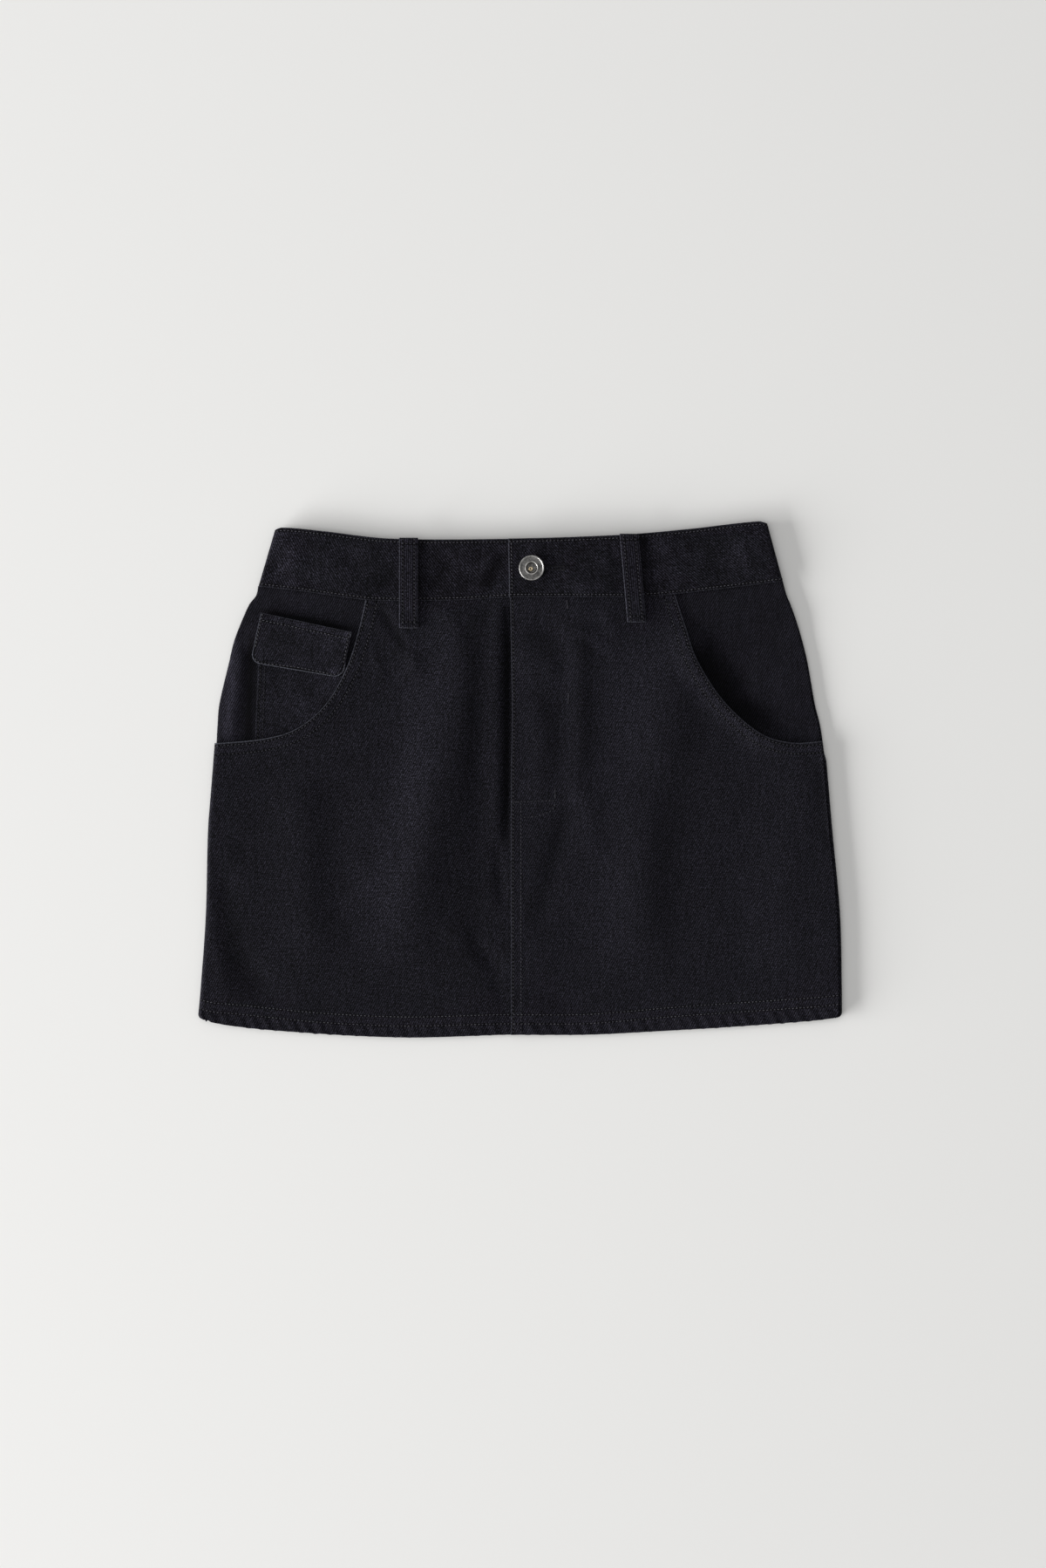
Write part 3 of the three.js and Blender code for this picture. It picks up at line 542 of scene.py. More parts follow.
def curve_through(points, samples=240):
    """Even points along a smooth curve through the given ones."""
    dense = []
    last = len(points) - 1
    for k in range(samples * 4 + 1):
        at = last * k / (samples * 4)
        i = min(int(at), last - 1)
        t = at - i
        p0, p1 = points[max(i - 1, 0)], points[i]
        p2, p3 = points[i + 1], points[min(i + 2, last)]
        place = []
        for a in range(2):
            v0, v1 = (p2[a] - p0[a]) / 2, (p3[a] - p1[a]) / 2
            place.append(
                (2 * p1[a] - 2 * p2[a] + v0 + v1) * t**3
                + (-3 * p1[a] + 3 * p2[a] - 2 * v0 - v1) * t**2
                + v0 * t
                + p1[a]
            )
        dense.append(place)
    lengths = [0]
    for a, b in zip(dense, dense[1:]):
        lengths.append(lengths[-1] + hypot(b[0] - a[0], b[1] - a[1]))
    even = []
    i = 0
    for k in range(samples + 1):
        goal = lengths[-1] * k / samples
        while i < len(lengths) - 2 and lengths[i + 1] < goal:
            i += 1
        share = (goal - lengths[i]) / max(lengths[i + 1] - lengths[i], 1e-9)
        even.append((mix(dense[i][0], dense[i + 1][0], share), mix(dense[i][1], dense[i + 1][1], share)))
    return even


def along(curve, share):
    at = limit(share, 0, 1) * (len(curve) - 1)
    i = min(int(at), len(curve) - 2)
    return mix(curve[i][0], curve[i + 1][0], at - i), mix(curve[i][1], curve[i + 1][1], at - i)


MOUTH = {half: curve_through(HALVES[half]["mouth"]) for half in HALVES}
FACING_EDGE = {half: curve_through(HALVES[half]["facing_edge"]) for half in HALVES}


def distance_to(curve):
    tree = KDTree((len(curve) - 1) * 6 + 1)
    for k in range((len(curve) - 1) * 6 + 1):
        x, y = along(curve, k / ((len(curve) - 1) * 6))
        tree.insert((x, y, 0), k)
    tree.balance()
    return lambda x, y: tree.find((x, y, 0))[2]


FROM_MOUTH = {half: distance_to(MOUTH[half]) for half in HALVES}


def hem_steps(length, rows):
    """Distances from the hem at which rows of the cloth lie: close together over the hem, then even."""
    close = [0, 0.5, 1.2, 2, 3, 4, 5, 6, 7, 8, 9, 10, 11, 12, 13, 14, 15, 16, 17.5]
    start = close[-1]
    return [d / length for d in close] + [
        (start + (length - start) * (k + 1) / rows) / length for k in range(rows)
    ]


# ---- cloth pieces ----


def finish_cloth(bm, name, wall, edge, replaced, thick_mark=None, thin_share=1.0):
    """Gives a laid face its thickness behind it and rounds its cut and folded edges."""
    mesh = bpy.data.meshes.new(name)
    bm.to_mesh(mesh)
    bm.free()
    piece = bpy.data.objects.new(name, mesh)
    bpy.context.scene.collection.objects.link(piece)
    for polygon in mesh.polygons:
        polygon.use_smooth = True
    thick = piece.modifiers.new("cloth_wall", "SOLIDIFY")
    thick.thickness = wall / 1000
    thick.offset = -1
    if thick_mark:
        group = piece.vertex_groups.new(name="turned_up")
        values = mesh.attributes[thick_mark].data
        for vertex in mesh.vertices:
            group.add([vertex.index], values[vertex.index].value, "REPLACE")
        thick.vertex_group = "turned_up"
        thick.thickness_vertex_group = thin_share
    soften = piece.modifiers.new("soft_edge", "BEVEL")
    soften.width = edge / 1000
    soften.segments = 2
    soften.limit_method = "ANGLE"
    soften.angle_limit = radians(50)
    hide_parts(*replaced)
    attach(piece, "root")
    return piece


def lay_cloth(
    name, columns, rows, put, marks, wall, edge, replaced, thick_mark=None, thin_share=1.0, flip=False
):
    """A face of cloth: a grid whose points put(column, row) lays as (place, weave place, mark values)."""
    bm = bmesh.new()
    bmesh.ops.create_grid(bm, x_segments=columns, y_segments=rows, size=0.5)
    weave = bm.loops.layers.uv.new("weave")
    layers = [bm.verts.layers.float.new(mark) for mark in marks]
    laid = {}
    for vert in bm.verts:
        place, on_weave, values = put(round((vert.co.x + 0.5) * columns), round((vert.co.y + 0.5) * rows))
        laid[vert] = on_weave
        for layer, value in zip(layers, values):
            vert[layer] = value
        vert.co = in_model(*place)
    for face in bm.faces:
        for loop in face.loops:
            loop[weave].uv = (laid[loop.vert][0] / 100, laid[loop.vert][1] / 100)
    if flip:
        bmesh.ops.reverse_faces(bm, faces=bm.faces)
    return finish_cloth(bm, name, wall, edge, replaced, thick_mark, thin_share)


ROLL_COLUMNS = 8
MOUTH_COLUMNS = 72
SEAM_COLUMNS = 58
FRONT_ROWS = 128


def front_plan(half):
    """Places of a front's columns: at the hem, and at the pocket mouth or the waist seam."""
    sign = HALVES[half]["sign"]
    corner = HALVES[half]["mouth"][-1]
    lap = LAP_WIDTH if half == "left" else 0
    lower_start = read_rows(LOWER_SIDE[half], -165) - sign * CORNER_RADIUS * 0.3
    plan = []
    for k in range(MOUTH_COLUMNS + 1):
        x = mix(lower_start, corner[0] * 1.05, k / MOUTH_COLUMNS)
        plan.append(((x, hem_y(x)), along(MOUTH[half], k / MOUTH_COLUMNS)))
    plan[-1] = (plan[-1][0], (corner[0], seam_y(corner[0]) + SEAM_TUCK))
    for k in range(1, SEAM_COLUMNS + 1):
        lower_x = mix(corner[0] * 1.05, middle_x(-176) + lap, k / SEAM_COLUMNS)
        upper_x = mix(corner[0], middle_x(123) + lap, k / SEAM_COLUMNS)
        plan.append(((lower_x, hem_y(lower_x)), (upper_x, seam_y(upper_x) + SEAM_TUCK)))
    return plan


def lay_front(half):
    sign = HALVES[half]["sign"]
    lap = LAP_WIDTH if half == "left" else 0
    plan = front_plan(half)
    steps = [hem_steps(hypot(u[0] - l[0], u[1] - l[1]), FRONT_ROWS) for l, u in plan]
    row_count = len(steps[0])
    rows = []
    for j in range(row_count):
        places = [
            (mix(l[0], u[0], steps[i][j]), mix(l[1], u[1], steps[i][j])) for i, (l, u) in enumerate(plan)
        ]
        side_y = places[0][1]
        edge_x = lower_side_x(half, side_y)
        low = back_height(places[0][0], side_y)
        high = front_height(half, edge_x, side_y)
        radius = (high - low) / 2
        first = seam_turn(half, side_y) + gap_angle(radius, panel_wall(edge_x, side_y))
        row = []
        for k in range(ROLL_COLUMNS):
            angle = mix(first, 90, k / ROLL_COLUMNS)
            place = round_side(half, edge_x, side_y, angle, low, high)
            arc = radius * radians(90 - angle)
            row.append((place, (edge_x - sign * radius + sign * arc, side_y)))
        side_shift = edge_x - sign * radius - places[0][0]
        end_shift = middle_x(places[-1][1]) + lap - places[-1][0]
        for i, (x, y) in enumerate(places):
            share = i / (len(places) - 1)
            x += side_shift * (1 - share) ** 3 + end_shift * share**3
            row.append((Vector((x, y, front_height(half, x, y))), (x, y)))
        rows.append(row)
    columns = len(rows[0]) - 1

    def put(i, j):
        place, on_weave = rows[j][i]
        x, y = on_weave
        above = y - hem_y(x)
        values = (
            above - read_rows(HEM_ROW, x),
            above,
            FROM_MOUTH[half](place.x, place.y),
            abs(x - middle_x(y)) if half == "right" else 40,
            fade((above - HEM_DEPTH + 1) / 2),
            # Painted light also: lighter on the hem band below its upper row and within about 8 mm of the pocket mouth
            painted_shade_and_wear(half, x, y) + 0.16 * max(
                fade(above - read_rows(HEM_ROW, x)), fade((FROM_MOUTH[half](place.x, place.y) - 8) / 2)
            ),
        )
        return place, on_weave, values

    marks = ["hem_row", "above_hem", "from_mouth", "from_middle", "turned_hem", "painted_shade_and_wear"]
    piece = lay_cloth(
        f"{half}_front_cloth",
        columns,
        row_count - 1,
        put,
        marks,
        HEM_CLOTH,
        0.38,
        [f"front_{half}"],
        "turned_hem",
        DENIM / HEM_CLOTH,
        flip=half == "right",
    )
    return piece


def lay_facing(half):
    sign = HALVES[half]["sign"]
    top_start = sign * 178
    across, up = 60, 66
    edge_start = HALVES[half]["facing_edge"][0]
    rows = []
    for j in range(up + 1):
        rise = j / up
        side_y = mix(edge_start[1], seam_y(top_start) + SEAM_TUCK, rise)
        edge_x = hip_side_x(half, side_y)
        low = back_height(edge_x, side_y)
        high = hip_height(half, edge_x, side_y)
        radius = (high - low) / 2
        first = seam_turn(half, side_y) + gap_angle(radius, DENIM)
        row = []
        for k in range(6):
            angle = mix(first, 90, k / 6)
            place = round_side(half, edge_x, side_y, angle, low, high)
            row.append((place, (edge_x - sign * radius * (1 - radians(90 - angle)), side_y)))
        for k in range(across + 1):
            share = k / across
            lower = along(FACING_EDGE[half], share)
            upper_x = mix(top_start, HALVES[half]["facing_top"], share)
            shift = edge_x - sign * radius - mix(edge_start[0], top_start, rise)
            x = mix(lower[0], upper_x, rise) + shift * (1 - share) ** 2
            y = mix(lower[1], seam_y(x) + SEAM_TUCK, rise)
            row.append((Vector((x, y, hip_height(half, x, y))), (x, y)))
        rows.append(row)

    def put(i, j):
        place, on_weave = rows[j][i]
        return place, on_weave, (FROM_MOUTH[half](place.x, place.y), painted_shade_and_wear("hip_" + half, place.x, place.y))

    return lay_cloth(
        f"{half}_facing_cloth",
        len(rows[0]) - 1,
        up,
        put,
        ["from_mouth", "painted_shade_and_wear"],
        DENIM,
        0.3,
        [f"hip_facing_{half}"],
        flip=half == "right",
    )


BACK_ROLL = 12
BACK_COLUMNS = 112
BACK_ROWS = 126


def lay_back():
    rows = []
    side_low = {h: hem_y(LOWER_SIDE[h][0][1]) + BACK_HEM_INSET for h in HALVES}
    side_high = {
        "left": seam_y(BAND_SEAM_ENDS[0]) + SEAM_TUCK, "right": seam_y(BAND_SEAM_ENDS[1]) + SEAM_TUCK
    }
    side_steps = {h: hem_steps(side_high[h] - side_low[h], BACK_ROWS) for h in HALVES}
    row_count = len(side_steps["left"])
    for j in range(row_count):
        rolls = {}
        for half, sign in (("right", 1), ("left", -1)):
            y = mix(side_low[half], side_high[half], side_steps[half][j])
            edge_x = back_side_x(half, y)
            low = back_height(edge_x, y)
            high = mix(front_height(half, edge_x, y), hip_height(half, edge_x, y), ease((y - 12) / 10))
            radius = (high - low) / 2
            end = seam_turn(half, y) - gap_angle(radius, panel_wall(edge_x, y))
            points = []
            for k in range(BACK_ROLL + 1):
                angle = mix(-90, end, k / BACK_ROLL)
                place = round_side(half, edge_x, y, angle, low, high)
                points.append((place, (edge_x - sign * radius + sign * radius * radians(angle + 90), y)))
            rolls[half] = points
        row = list(reversed(rolls["right"]))
        start_x, end_x = rolls["right"][0][0].x, rolls["left"][0][0].x
        for k in range(1, BACK_COLUMNS):
            x = mix(start_x, end_x, k / BACK_COLUMNS)
            lower, upper = hem_y(x) + BACK_HEM_INSET, seam_y(x) + SEAM_TUCK
            y = mix(lower, upper, hem_steps(upper - lower, BACK_ROWS)[j])
            lift = fold_height(SCENE_CREASES, "back", x, y)
            row.append((Vector((x, y, back_height(x, y) + lift)), (x, y)))
        row += rolls["left"]
        rows.append(row)

    def put(i, j):
        place, on_weave = rows[j][i]
        x, y = on_weave
        above = y - hem_y(x)
        values = (above - read_rows(HEM_ROW, x), above, 60, 60, fade((above - HEM_DEPTH + 1) / 2))
        return place, on_weave, values

    return lay_cloth(
        "back_cloth",
        len(rows[0]) - 1,
        row_count - 1,
        put,
        ["hem_row", "above_hem", "from_mouth", "from_middle", "turned_hem"],
        HEM_CLOTH,
        0.38,
        ["back_panel"],
        "turned_hem",
        DENIM / HEM_CLOTH,
    )


def band_place(seam_x, top_x, rise):
    return mix(seam_x, top_x, rise), mix(seam_y(seam_x), top_y(top_x), rise)


def band_path():
    """Stops round the waistband, from the lap round the back to the underlap: how each gives a place at a rise."""
    radius = (BAND_TOP - BAND_FLOOR) / 2
    right = (BAND_SEAM_ENDS[1] - radius, BAND_TOP_ENDS[1] - radius)
    left = (BAND_SEAM_ENDS[0] + radius, BAND_TOP_ENDS[0] + radius)
    stops = []

    def stretch(from_seam, to_seam, from_top, to_top, steps, half):
        for k in range(steps + 1):
            stops.append((mix(from_seam, to_seam, k / steps), mix(from_top, to_top, k / steps), half, None))

    def turn(side, angles):
        for angle in angles:
            stops.append((None, None, side, angle))

    stretch(LAP_SEAM_X, right[0], LAP_TOP_X, right[1], 96, "right")
    turn("right", [75, 60, 45, 30, 15, 0, -15, -30, -45, -60, -75])
    stretch(right[0], left[0], right[1], left[1], 120, "back")
    turn("left", [-75, -60, -45, -30, -15, 0, 15, 30, 45, 60, 75])
    stretch(left[0], UNDERLAP_X, left[1], UNDERLAP_X, 110, "left")
    return stops


def band_point(stop, rise):
    seam_x, top_x, half, angle = stop
    if angle is None:
        x, y = band_place(seam_x, top_x, rise)
        if half == "back":
            return Vector((x, y, BAND_FLOOR))
        uneven = 1.3 * ripple(x * 1.6 + 90, y * 1.3) * ease(min(rise, 1 - rise) * 5)
        return Vector((x, y, band_top(half, x, y) + uneven))
    side = HALVES[half]["sign"]
    end = 1 if half == "right" else 0
    radius = (BAND_TOP - BAND_FLOOR) / 2
    inset = radius * (1 - cos(radians(angle)))
    x, y = band_place(BAND_SEAM_ENDS[end] - side * inset, BAND_TOP_ENDS[end] - side * inset, rise)
    return round_side(half, x + side * inset, y, angle, BAND_FLOOR, BAND_TOP)


BAND_RISES = [0, 0.015, 0.04] + [0.08 + 0.84 * k / 16 for k in range(17)] + [0.96, 0.985, 1]


def lay_waistband():
    stops = band_path()
    middle = [band_point(stop, 0.5) for stop in stops]
    run = [0]
    for a, b in zip(middle, middle[1:]):
        run.append(run[-1] + (b - a).length)
    heights = []
    for stop in stops:
        low, high = band_point(stop, 0), band_point(stop, 1)
        heights.append(hypot(high.x - low.x, high.y - low.y))

    def put(i, j):
        rise = BAND_RISES[j]
        above = rise * heights[i]
        place = band_point(stops[i], rise)
        shade = 0 if stops[i][2] == "back" else painted_shade_and_wear("band_" + stops[i][2], place.x, place.y)
        return place, (run[i], above), (above, heights[i] - above, run[i], run[-1] - run[i], shade)

    piece = lay_cloth(
        "waistband_cloth",
        len(stops) - 1,
        len(BAND_RISES) - 1,
        put,
        ["above_seam", "below_top", "from_lap_end", "from_under_end", "painted_shade_and_wear"],
        BAND_CLOTH,
        0.7,
        ["waistband"],
    )
    return piece


def patch_shares(corner_share, columns):
    turn = [t * corner_share for t in (0, 0.02, 0.06, 0.14, 0.25, 0.4, 0.6, 0.8)]
    middle = [corner_share + (1 - 2 * corner_share) * k / columns for k in range(columns + 1)]
    return turn + middle + [1 - t for t in reversed(turn)]


def patch_place(shape, share, rise):
    """Place on a patch with its lower corners rounded."""
    width = hypot(
        shape["lower_right"][0] - shape["lower_left"][0], shape["lower_right"][1] - shape["lower_left"][1]
    )
    height = hypot(
        shape["upper_left"][0] - shape["lower_left"][0], shape["upper_left"][1] - shape["lower_left"][1]
    )
    corner = shape["corner"]
    short = max(corner - min(share, 1 - share) * width, 0)
    lift = min(corner - sqrt(max(corner**2 - short**2, 0)), corner * 0.9) / height
    v = lift + (1 - lift) * rise
    x = mix(
        mix(shape["lower_left"][0], shape["lower_right"][0], share),
        mix(shape["upper_left"][0], shape["upper_right"][0], share),
        v
    )
    y = mix(
        mix(shape["lower_left"][1], shape["lower_right"][1], share),
        mix(shape["upper_left"][1], shape["upper_right"][1], share),
        v
    )
    from_side, from_bottom = min(share, 1 - share) * width, v * height
    edge = min(from_side, from_bottom)
    if from_side < corner and from_bottom < corner:
        edge = max(corner - hypot(corner - from_side, corner - from_bottom), 0)
    return x, y, edge, (1 - v) * height


def pocket_height(x, y):
    return hip_height("left", x, y) + GAP + DENIM


def flap_height(x, y):
    return pocket_height(x, y) + GAP + FOLDED


def lay_patch(name, shape, columns, rows, height_at, wall, edge, replaced, shade):
    width = hypot(
        shape["lower_right"][0] - shape["lower_left"][0], shape["lower_right"][1] - shape["lower_left"][1]
    )
    height = shape["upper_right"][1] - shape["lower_right"][1]
    shares = patch_shares(shape["corner"] / width, columns)

    def put(i, j):
        x, y, from_edge, from_top = patch_place(shape, shares[i], j / rows)
        # The flap's edge is lightened all round, partly as painted highlight, except along the middle of its right
        # side
        right_side_unmarked = ease((shares[i] - 0.85) / 0.1) * ease((from_top - 3) / 3) * ease(
            (height - from_top - 6) / 3
        )
        marks = (from_edge, from_top, from_edge + 1.5 * right_side_unmarked, painted_shade_and_wear(shade, x, y))
        return Vector((x, y, height_at(x, y))), (x, y), marks

    names = ["from_edge", "from_top", "from_worn_and_lit_edge", "painted_shade_and_wear"]
    return lay_cloth(name, len(shares) - 1, rows, put, names, wall, edge, [replaced])


def lay_shield():
    def put(i, j):
        start_y = mix(SHIELD_LOWER_Y, seam_y(10) - GAP, j / 60)
        x = middle_x(start_y) + LAP_WIDTH + GAP + SHIELD_WIDTH * i / 12
        y = mix(SHIELD_LOWER_Y, seam_y(x) - GAP, j / 60)
        return Vector((x, y, front_height("right", x, y) - SHIELD_DROP)), (x, y), (SHIELD_WIDTH * i / 12,)

    return lay_cloth("fly_shield_cloth", 12, 60, put, ["from_edge"], FOLDED, 0.5, ["fly_shield"])


def loop_point(upper, lower, half, across, rise):
    x = mix(lower[0], upper[0], rise) + across
    y = mix(lower[1], upper[1], rise)
    on_band = band_top(half, x, seam_y(x))
    below = seam_y(x) - y
    on_front = front_height(half, x, y)
    carrier = on_band if below <= 0 else max(on_front, on_band - SEAM_STEP * below / 8)
    return Vector((x, y, max(carrier, on_front) + GAP + FOLDED + LOOP_BULGE * sin(pi * rise)))


def lay_front_loop(name, upper, lower, half):
    length = hypot(upper[0] - lower[0], upper[1] - lower[1])

    def put(i, j):
        across = LOOP_HALF_WIDTH * (i / 5 - 1)
        place = loop_point(upper, lower, half, across, j / 40)
        return place, (across, length * j / 40), (
            LOOP_HALF_WIDTH - abs(across), min(j, 40 - j) / 40 * length
        )

    return lay_cloth(name + "_cloth", 10, 40, put, ["from_edge", "from_end"], FOLDED, 0.5, [name])


def lay_back_loop(name, x):
    lower_y, upper_y = seam_y(x) - BACK_LOOP_DROP, top_y(x) - 1

    def put(i, j):
        across = LOOP_HALF_WIDTH * (i / 5 - 1)
        y = mix(lower_y, upper_y, j / 40)
        return Vector((x - across, y, 0)), (across, y), (
            LOOP_HALF_WIDTH - abs(across), min(y - lower_y, upper_y - y)
        )

    return lay_cloth(name + "_cloth", 10, 40, put, ["from_edge", "from_end"], FOLDED, 0.5, [name])


# ---- sewing ----


def front_surface(half, x, y):
    """Height of a front's outer face, with the roll at its side."""
    sign = HALVES[half]["sign"]
    edge_x = lower_side_x(half, y)
    low = back_height(edge_x, y)
    high = front_height(half, edge_x, y)
    radius = (high - low) / 2
    inside = sign * (edge_x - x)
    if inside >= radius:
        return front_height(half, x, y)
    cosine = limit(1 - inside / radius, 0, 1)
    return low + radius * (1 + sqrt(1 - cosine * cosine))


def follow(plan, height_at):
    """A line on a face, from its plan: places with the direction out of the cloth."""
    row = []
    for x, y in plan:
        step = 0.3
        slope_x = (height_at(x + step, y) - height_at(x - step, y)) / (2 * step)
        slope_y = (height_at(x, y + step) - height_at(x, y - step)) / (2 * step)
        row.append((Vector((x, y, height_at(x, y))), Vector((-slope_x, -slope_y, 1)).normalized()))
    return row


PITCH = 2.54
TACK_PITCH = 0.42


def line(start, end, step=1.5):
    count = max(int(hypot(end[0] - start[0], end[1] - start[1]) / step), 1)
    return [(mix(start[0], end[0], k / count), mix(start[1], end[1], k / count)) for k in range(count + 1)]


def evenly(row, pitch):
    """Stops a pitch apart along a line of (place, outward)."""
    runs = [0]
    for (a, _), (b, _) in zip(row, row[1:]):
        runs.append(runs[-1] + (b - a).length)
    count = max(int(round(runs[-1] / pitch)), 1)
    stops = []
    i = 0
    for k in range(count):
        goal = runs[-1] * (k + 0.5) / count
        while i < len(runs) - 2 and runs[i + 1] < goal:
            i += 1
        share = (goal - runs[i]) / max(runs[i + 1] - runs[i], 1e-9)
        (a, na), (b, nb) = row[i], row[i + 1]
        stops.append((a.lerp(b, share), na.lerp(nb, share).normalized(), (b - a).normalized()))
    return stops


def one_stitch(bm, centre, outward, ahead, length, width, height):
    side = outward.cross(ahead).normalized()
    up = ahead.cross(side).normalized()
    shape = Matrix((side * width / 1000, up * height / 1000, ahead * length / 1000)).transposed().to_4x4()
    shape.translation = in_model(*centre)
    bmesh.ops.create_uvsphere(bm, u_segments=6, v_segments=4, radius=0.5, matrix=shape)


def batches(stops, size=30):
    """Stops in short lists, because a small mesh takes a new stitch much faster."""
    return [stops[k : k + size] for k in range(0, len(stops), size)]


def topstitch(bm, stops):
    """Stitches of a row, each turned a little by the thread's twist."""
    for k, (place, outward, ahead) in enumerate(stops):
        side = outward.cross(ahead)
        sway = 0.06 * noise.noise(Vector((place.x / 3, place.y / 3, place.z + k)))
        one_stitch(bm, place + outward * 0.05 + side * sway, outward, ahead + side * 0.12, 1.65, 0.84, 0.44)


def bar_tack(bm, stops):
    """Close stitches across a short line, as a machine lays them to lock a seam."""
    for k, (place, outward, ahead) in enumerate(stops):
        across = outward.cross(ahead)
        one_stitch(
            bm, place + outward * 0.14, outward, across + ahead * (0.18 if k % 2 else -0.18), 1.3, 0.42, 0.4
        )


def purl_stitch(bm, stops):
    """Long stitches side by side over a cut edge."""
    for place, outward, ahead in stops:
        one_stitch(bm, place, outward, ahead, 1.5, 0.42, 0.4)


def threads(name, rows, tacks=(), thread=None, purl=()):
    """All the stitches on a piece, joined in one mesh: topstitching, bar tacks and single long stitches."""
    bm = bmesh.new()
    jobs = [(topstitch, part) for row in rows for part in batches(evenly(row, PITCH))]
    jobs += [(bar_tack, part) for row in tacks for part in batches(evenly(row, TACK_PITCH))]
    jobs += [(purl_stitch, part) for part in batches(purl)]
    for job, part in jobs:
        small = bmesh.new()
        job(small, part)
        batch = bpy.data.meshes.new("batch")
        small.to_mesh(batch)
        small.free()
        bm.from_mesh(batch)
        bpy.data.meshes.remove(batch)
    mesh = bpy.data.meshes.new(name)
    bm.to_mesh(mesh)
    bm.free()
    for polygon in mesh.polygons:
        polygon.use_smooth = True
    sewn = bpy.data.objects.new(name, mesh)
    bpy.context.scene.collection.objects.link(sewn)
    mesh.materials.append(thread)
    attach(sewn, "root")
    return sewn


def beside_mouth(half, away):
    """The pocket mouth's line, moved into the front."""
    mouth = MOUTH[half]
    moved = []
    for k in range(0, len(mouth), 2):
        before, after = mouth[max(k - 1, 0)], mouth[min(k + 1, len(mouth) - 1)]
        run = hypot(after[0] - before[0], after[1] - before[1])
        turn_x, turn_y = (after[1] - before[1]) / run, -(after[0] - before[0]) / run
        if half == "right":
            turn_x, turn_y = -turn_x, -turn_y
        x, y = mouth[k][0] + turn_x * away, mouth[k][1] + turn_y * away
        if abs(x) < abs(lower_side_x(half, y)) - 0.2 and y < seam_y(x) - 0.8:
            moved.append((x, y))
    return moved


def hem_plan(half, below):
    """A row of the hem on one front, from its side to the middle."""
    side = LOWER_SIDE[half][0][1]
    sign = HALVES[half]["sign"]
    start = lower_side_x(half, hem_y(side) + 14 - below) - sign * 0.25
    end = -6.2 + (-0.4 if half == "left" else 1.2)
    count = 150
    plan = []
    for k in range(count + 1):
        x = mix(start, end, k / count)
        plan.append((x, hem_y(x) + read_rows(HEM_ROW, x) - below))
    return plan


def sew_fronts(thread, painted_light_thread, dull_thread):
    on = {half: (lambda x, y, h=half: front_surface(h, x, y)) for half in HALVES}
    mouth_rows = {
        "left": [follow(beside_mouth("left", away), on["left"]) for away in (2.1, 8.3)],
        "right": [follow(beside_mouth("right", away), on["right"]) for away in (2.1, 7.6)],
    }
    closure = [
        (middle_x(y) + 1.75, y) for y in [-174.5 + 1.5 * k for k in range(200)] if y < seam_y(-4) - 0.8
    ]
    second = [(middle_x(y) + 7.1, y) for y in [-174.5 + 1.5 * k for k in range(107)]]
    curve = curve_through([(24.3, -16.2), (22.2, -21), (16.5, -23.4), (11.7, -25.2), (2.1, -25.9)], 30)
    right_rows = [
        follow(closure, on["right"]),
        follow(second, on["right"]),
        follow(line((-5, -15.3), (24.3, -14.4)), on["right"]),
        follow(curve, on["right"]),
    ]
    right_tacks = [
        follow(line((32.2, 123.4), (33, 117.6), 1), on["right"]),
        follow(line((33.6, 59.4), (33.3, 52.2), 1), on["right"]),
        follow(line((24.3, -6.3), (24.3, -12.9), 1), on["right"]),
        follow(line((-5, -15.3), (-0.4, -15.2), 1), on["right"]),
    ]
    mouth_tacks = {
        "left": line((-104.7, 118.8), (-96.9, 118.8)), "right": line((98.2, 121.2), (104.7, 121.6))
    }
    sewn = {"left": [], "right": [threads("fly_stitches", right_rows, right_tacks, thread)]}
    for half in HALVES:
        hem = [follow(hem_plan(half, below), on[half]) for below in (0, HEM_ROW_STEP)]
        sewn[half].append(threads(half + "_hem_stitches", hem, (), painted_light_thread))
        sewn[half].append(threads(half + "_mouth_stitches", mouth_rows[half], (), thread))
        sewn[half].append(
            threads(half + "_mouth_tack", (), [follow(mouth_tacks[half], on[half])], dull_thread)
        )
    return sewn


def sew_back(thread):
    rows = []
    for below in (0, HEM_ROW_STEP):
        row = []
        for half, sign, angles in (("left", -1, range(-6, -91, -12)), ("right", 1, range(-90, 67, 12))):
            y = hem_y(LOWER_SIDE[half][0][1]) + read_rows(HEM_ROW, LOWER_SIDE[half][0][1]) - below
            edge_x = back_side_x(half, y)
            high = front_height(half, edge_x, y)
            part = []
            for angle in angles:
                outward = Vector((sign * cos(radians(angle)), 0, sin(radians(angle))))
                part.append((round_side(half, edge_x, y, angle, 0, high) - outward * 0.08, outward))
            if half == "right":
                start, end = row[-1][0].x, part[0][0].x
                for k in range(1, 150):
                    x = mix(start, end, k / 150)
                    y = hem_y(x) + read_rows(HEM_ROW, x) - below
                    row.append((Vector((x, y, 0.08)), Vector((0, 0, -1))))
            row += part
        rows.append(row)
    return threads("back_stitches", rows, (), thread)


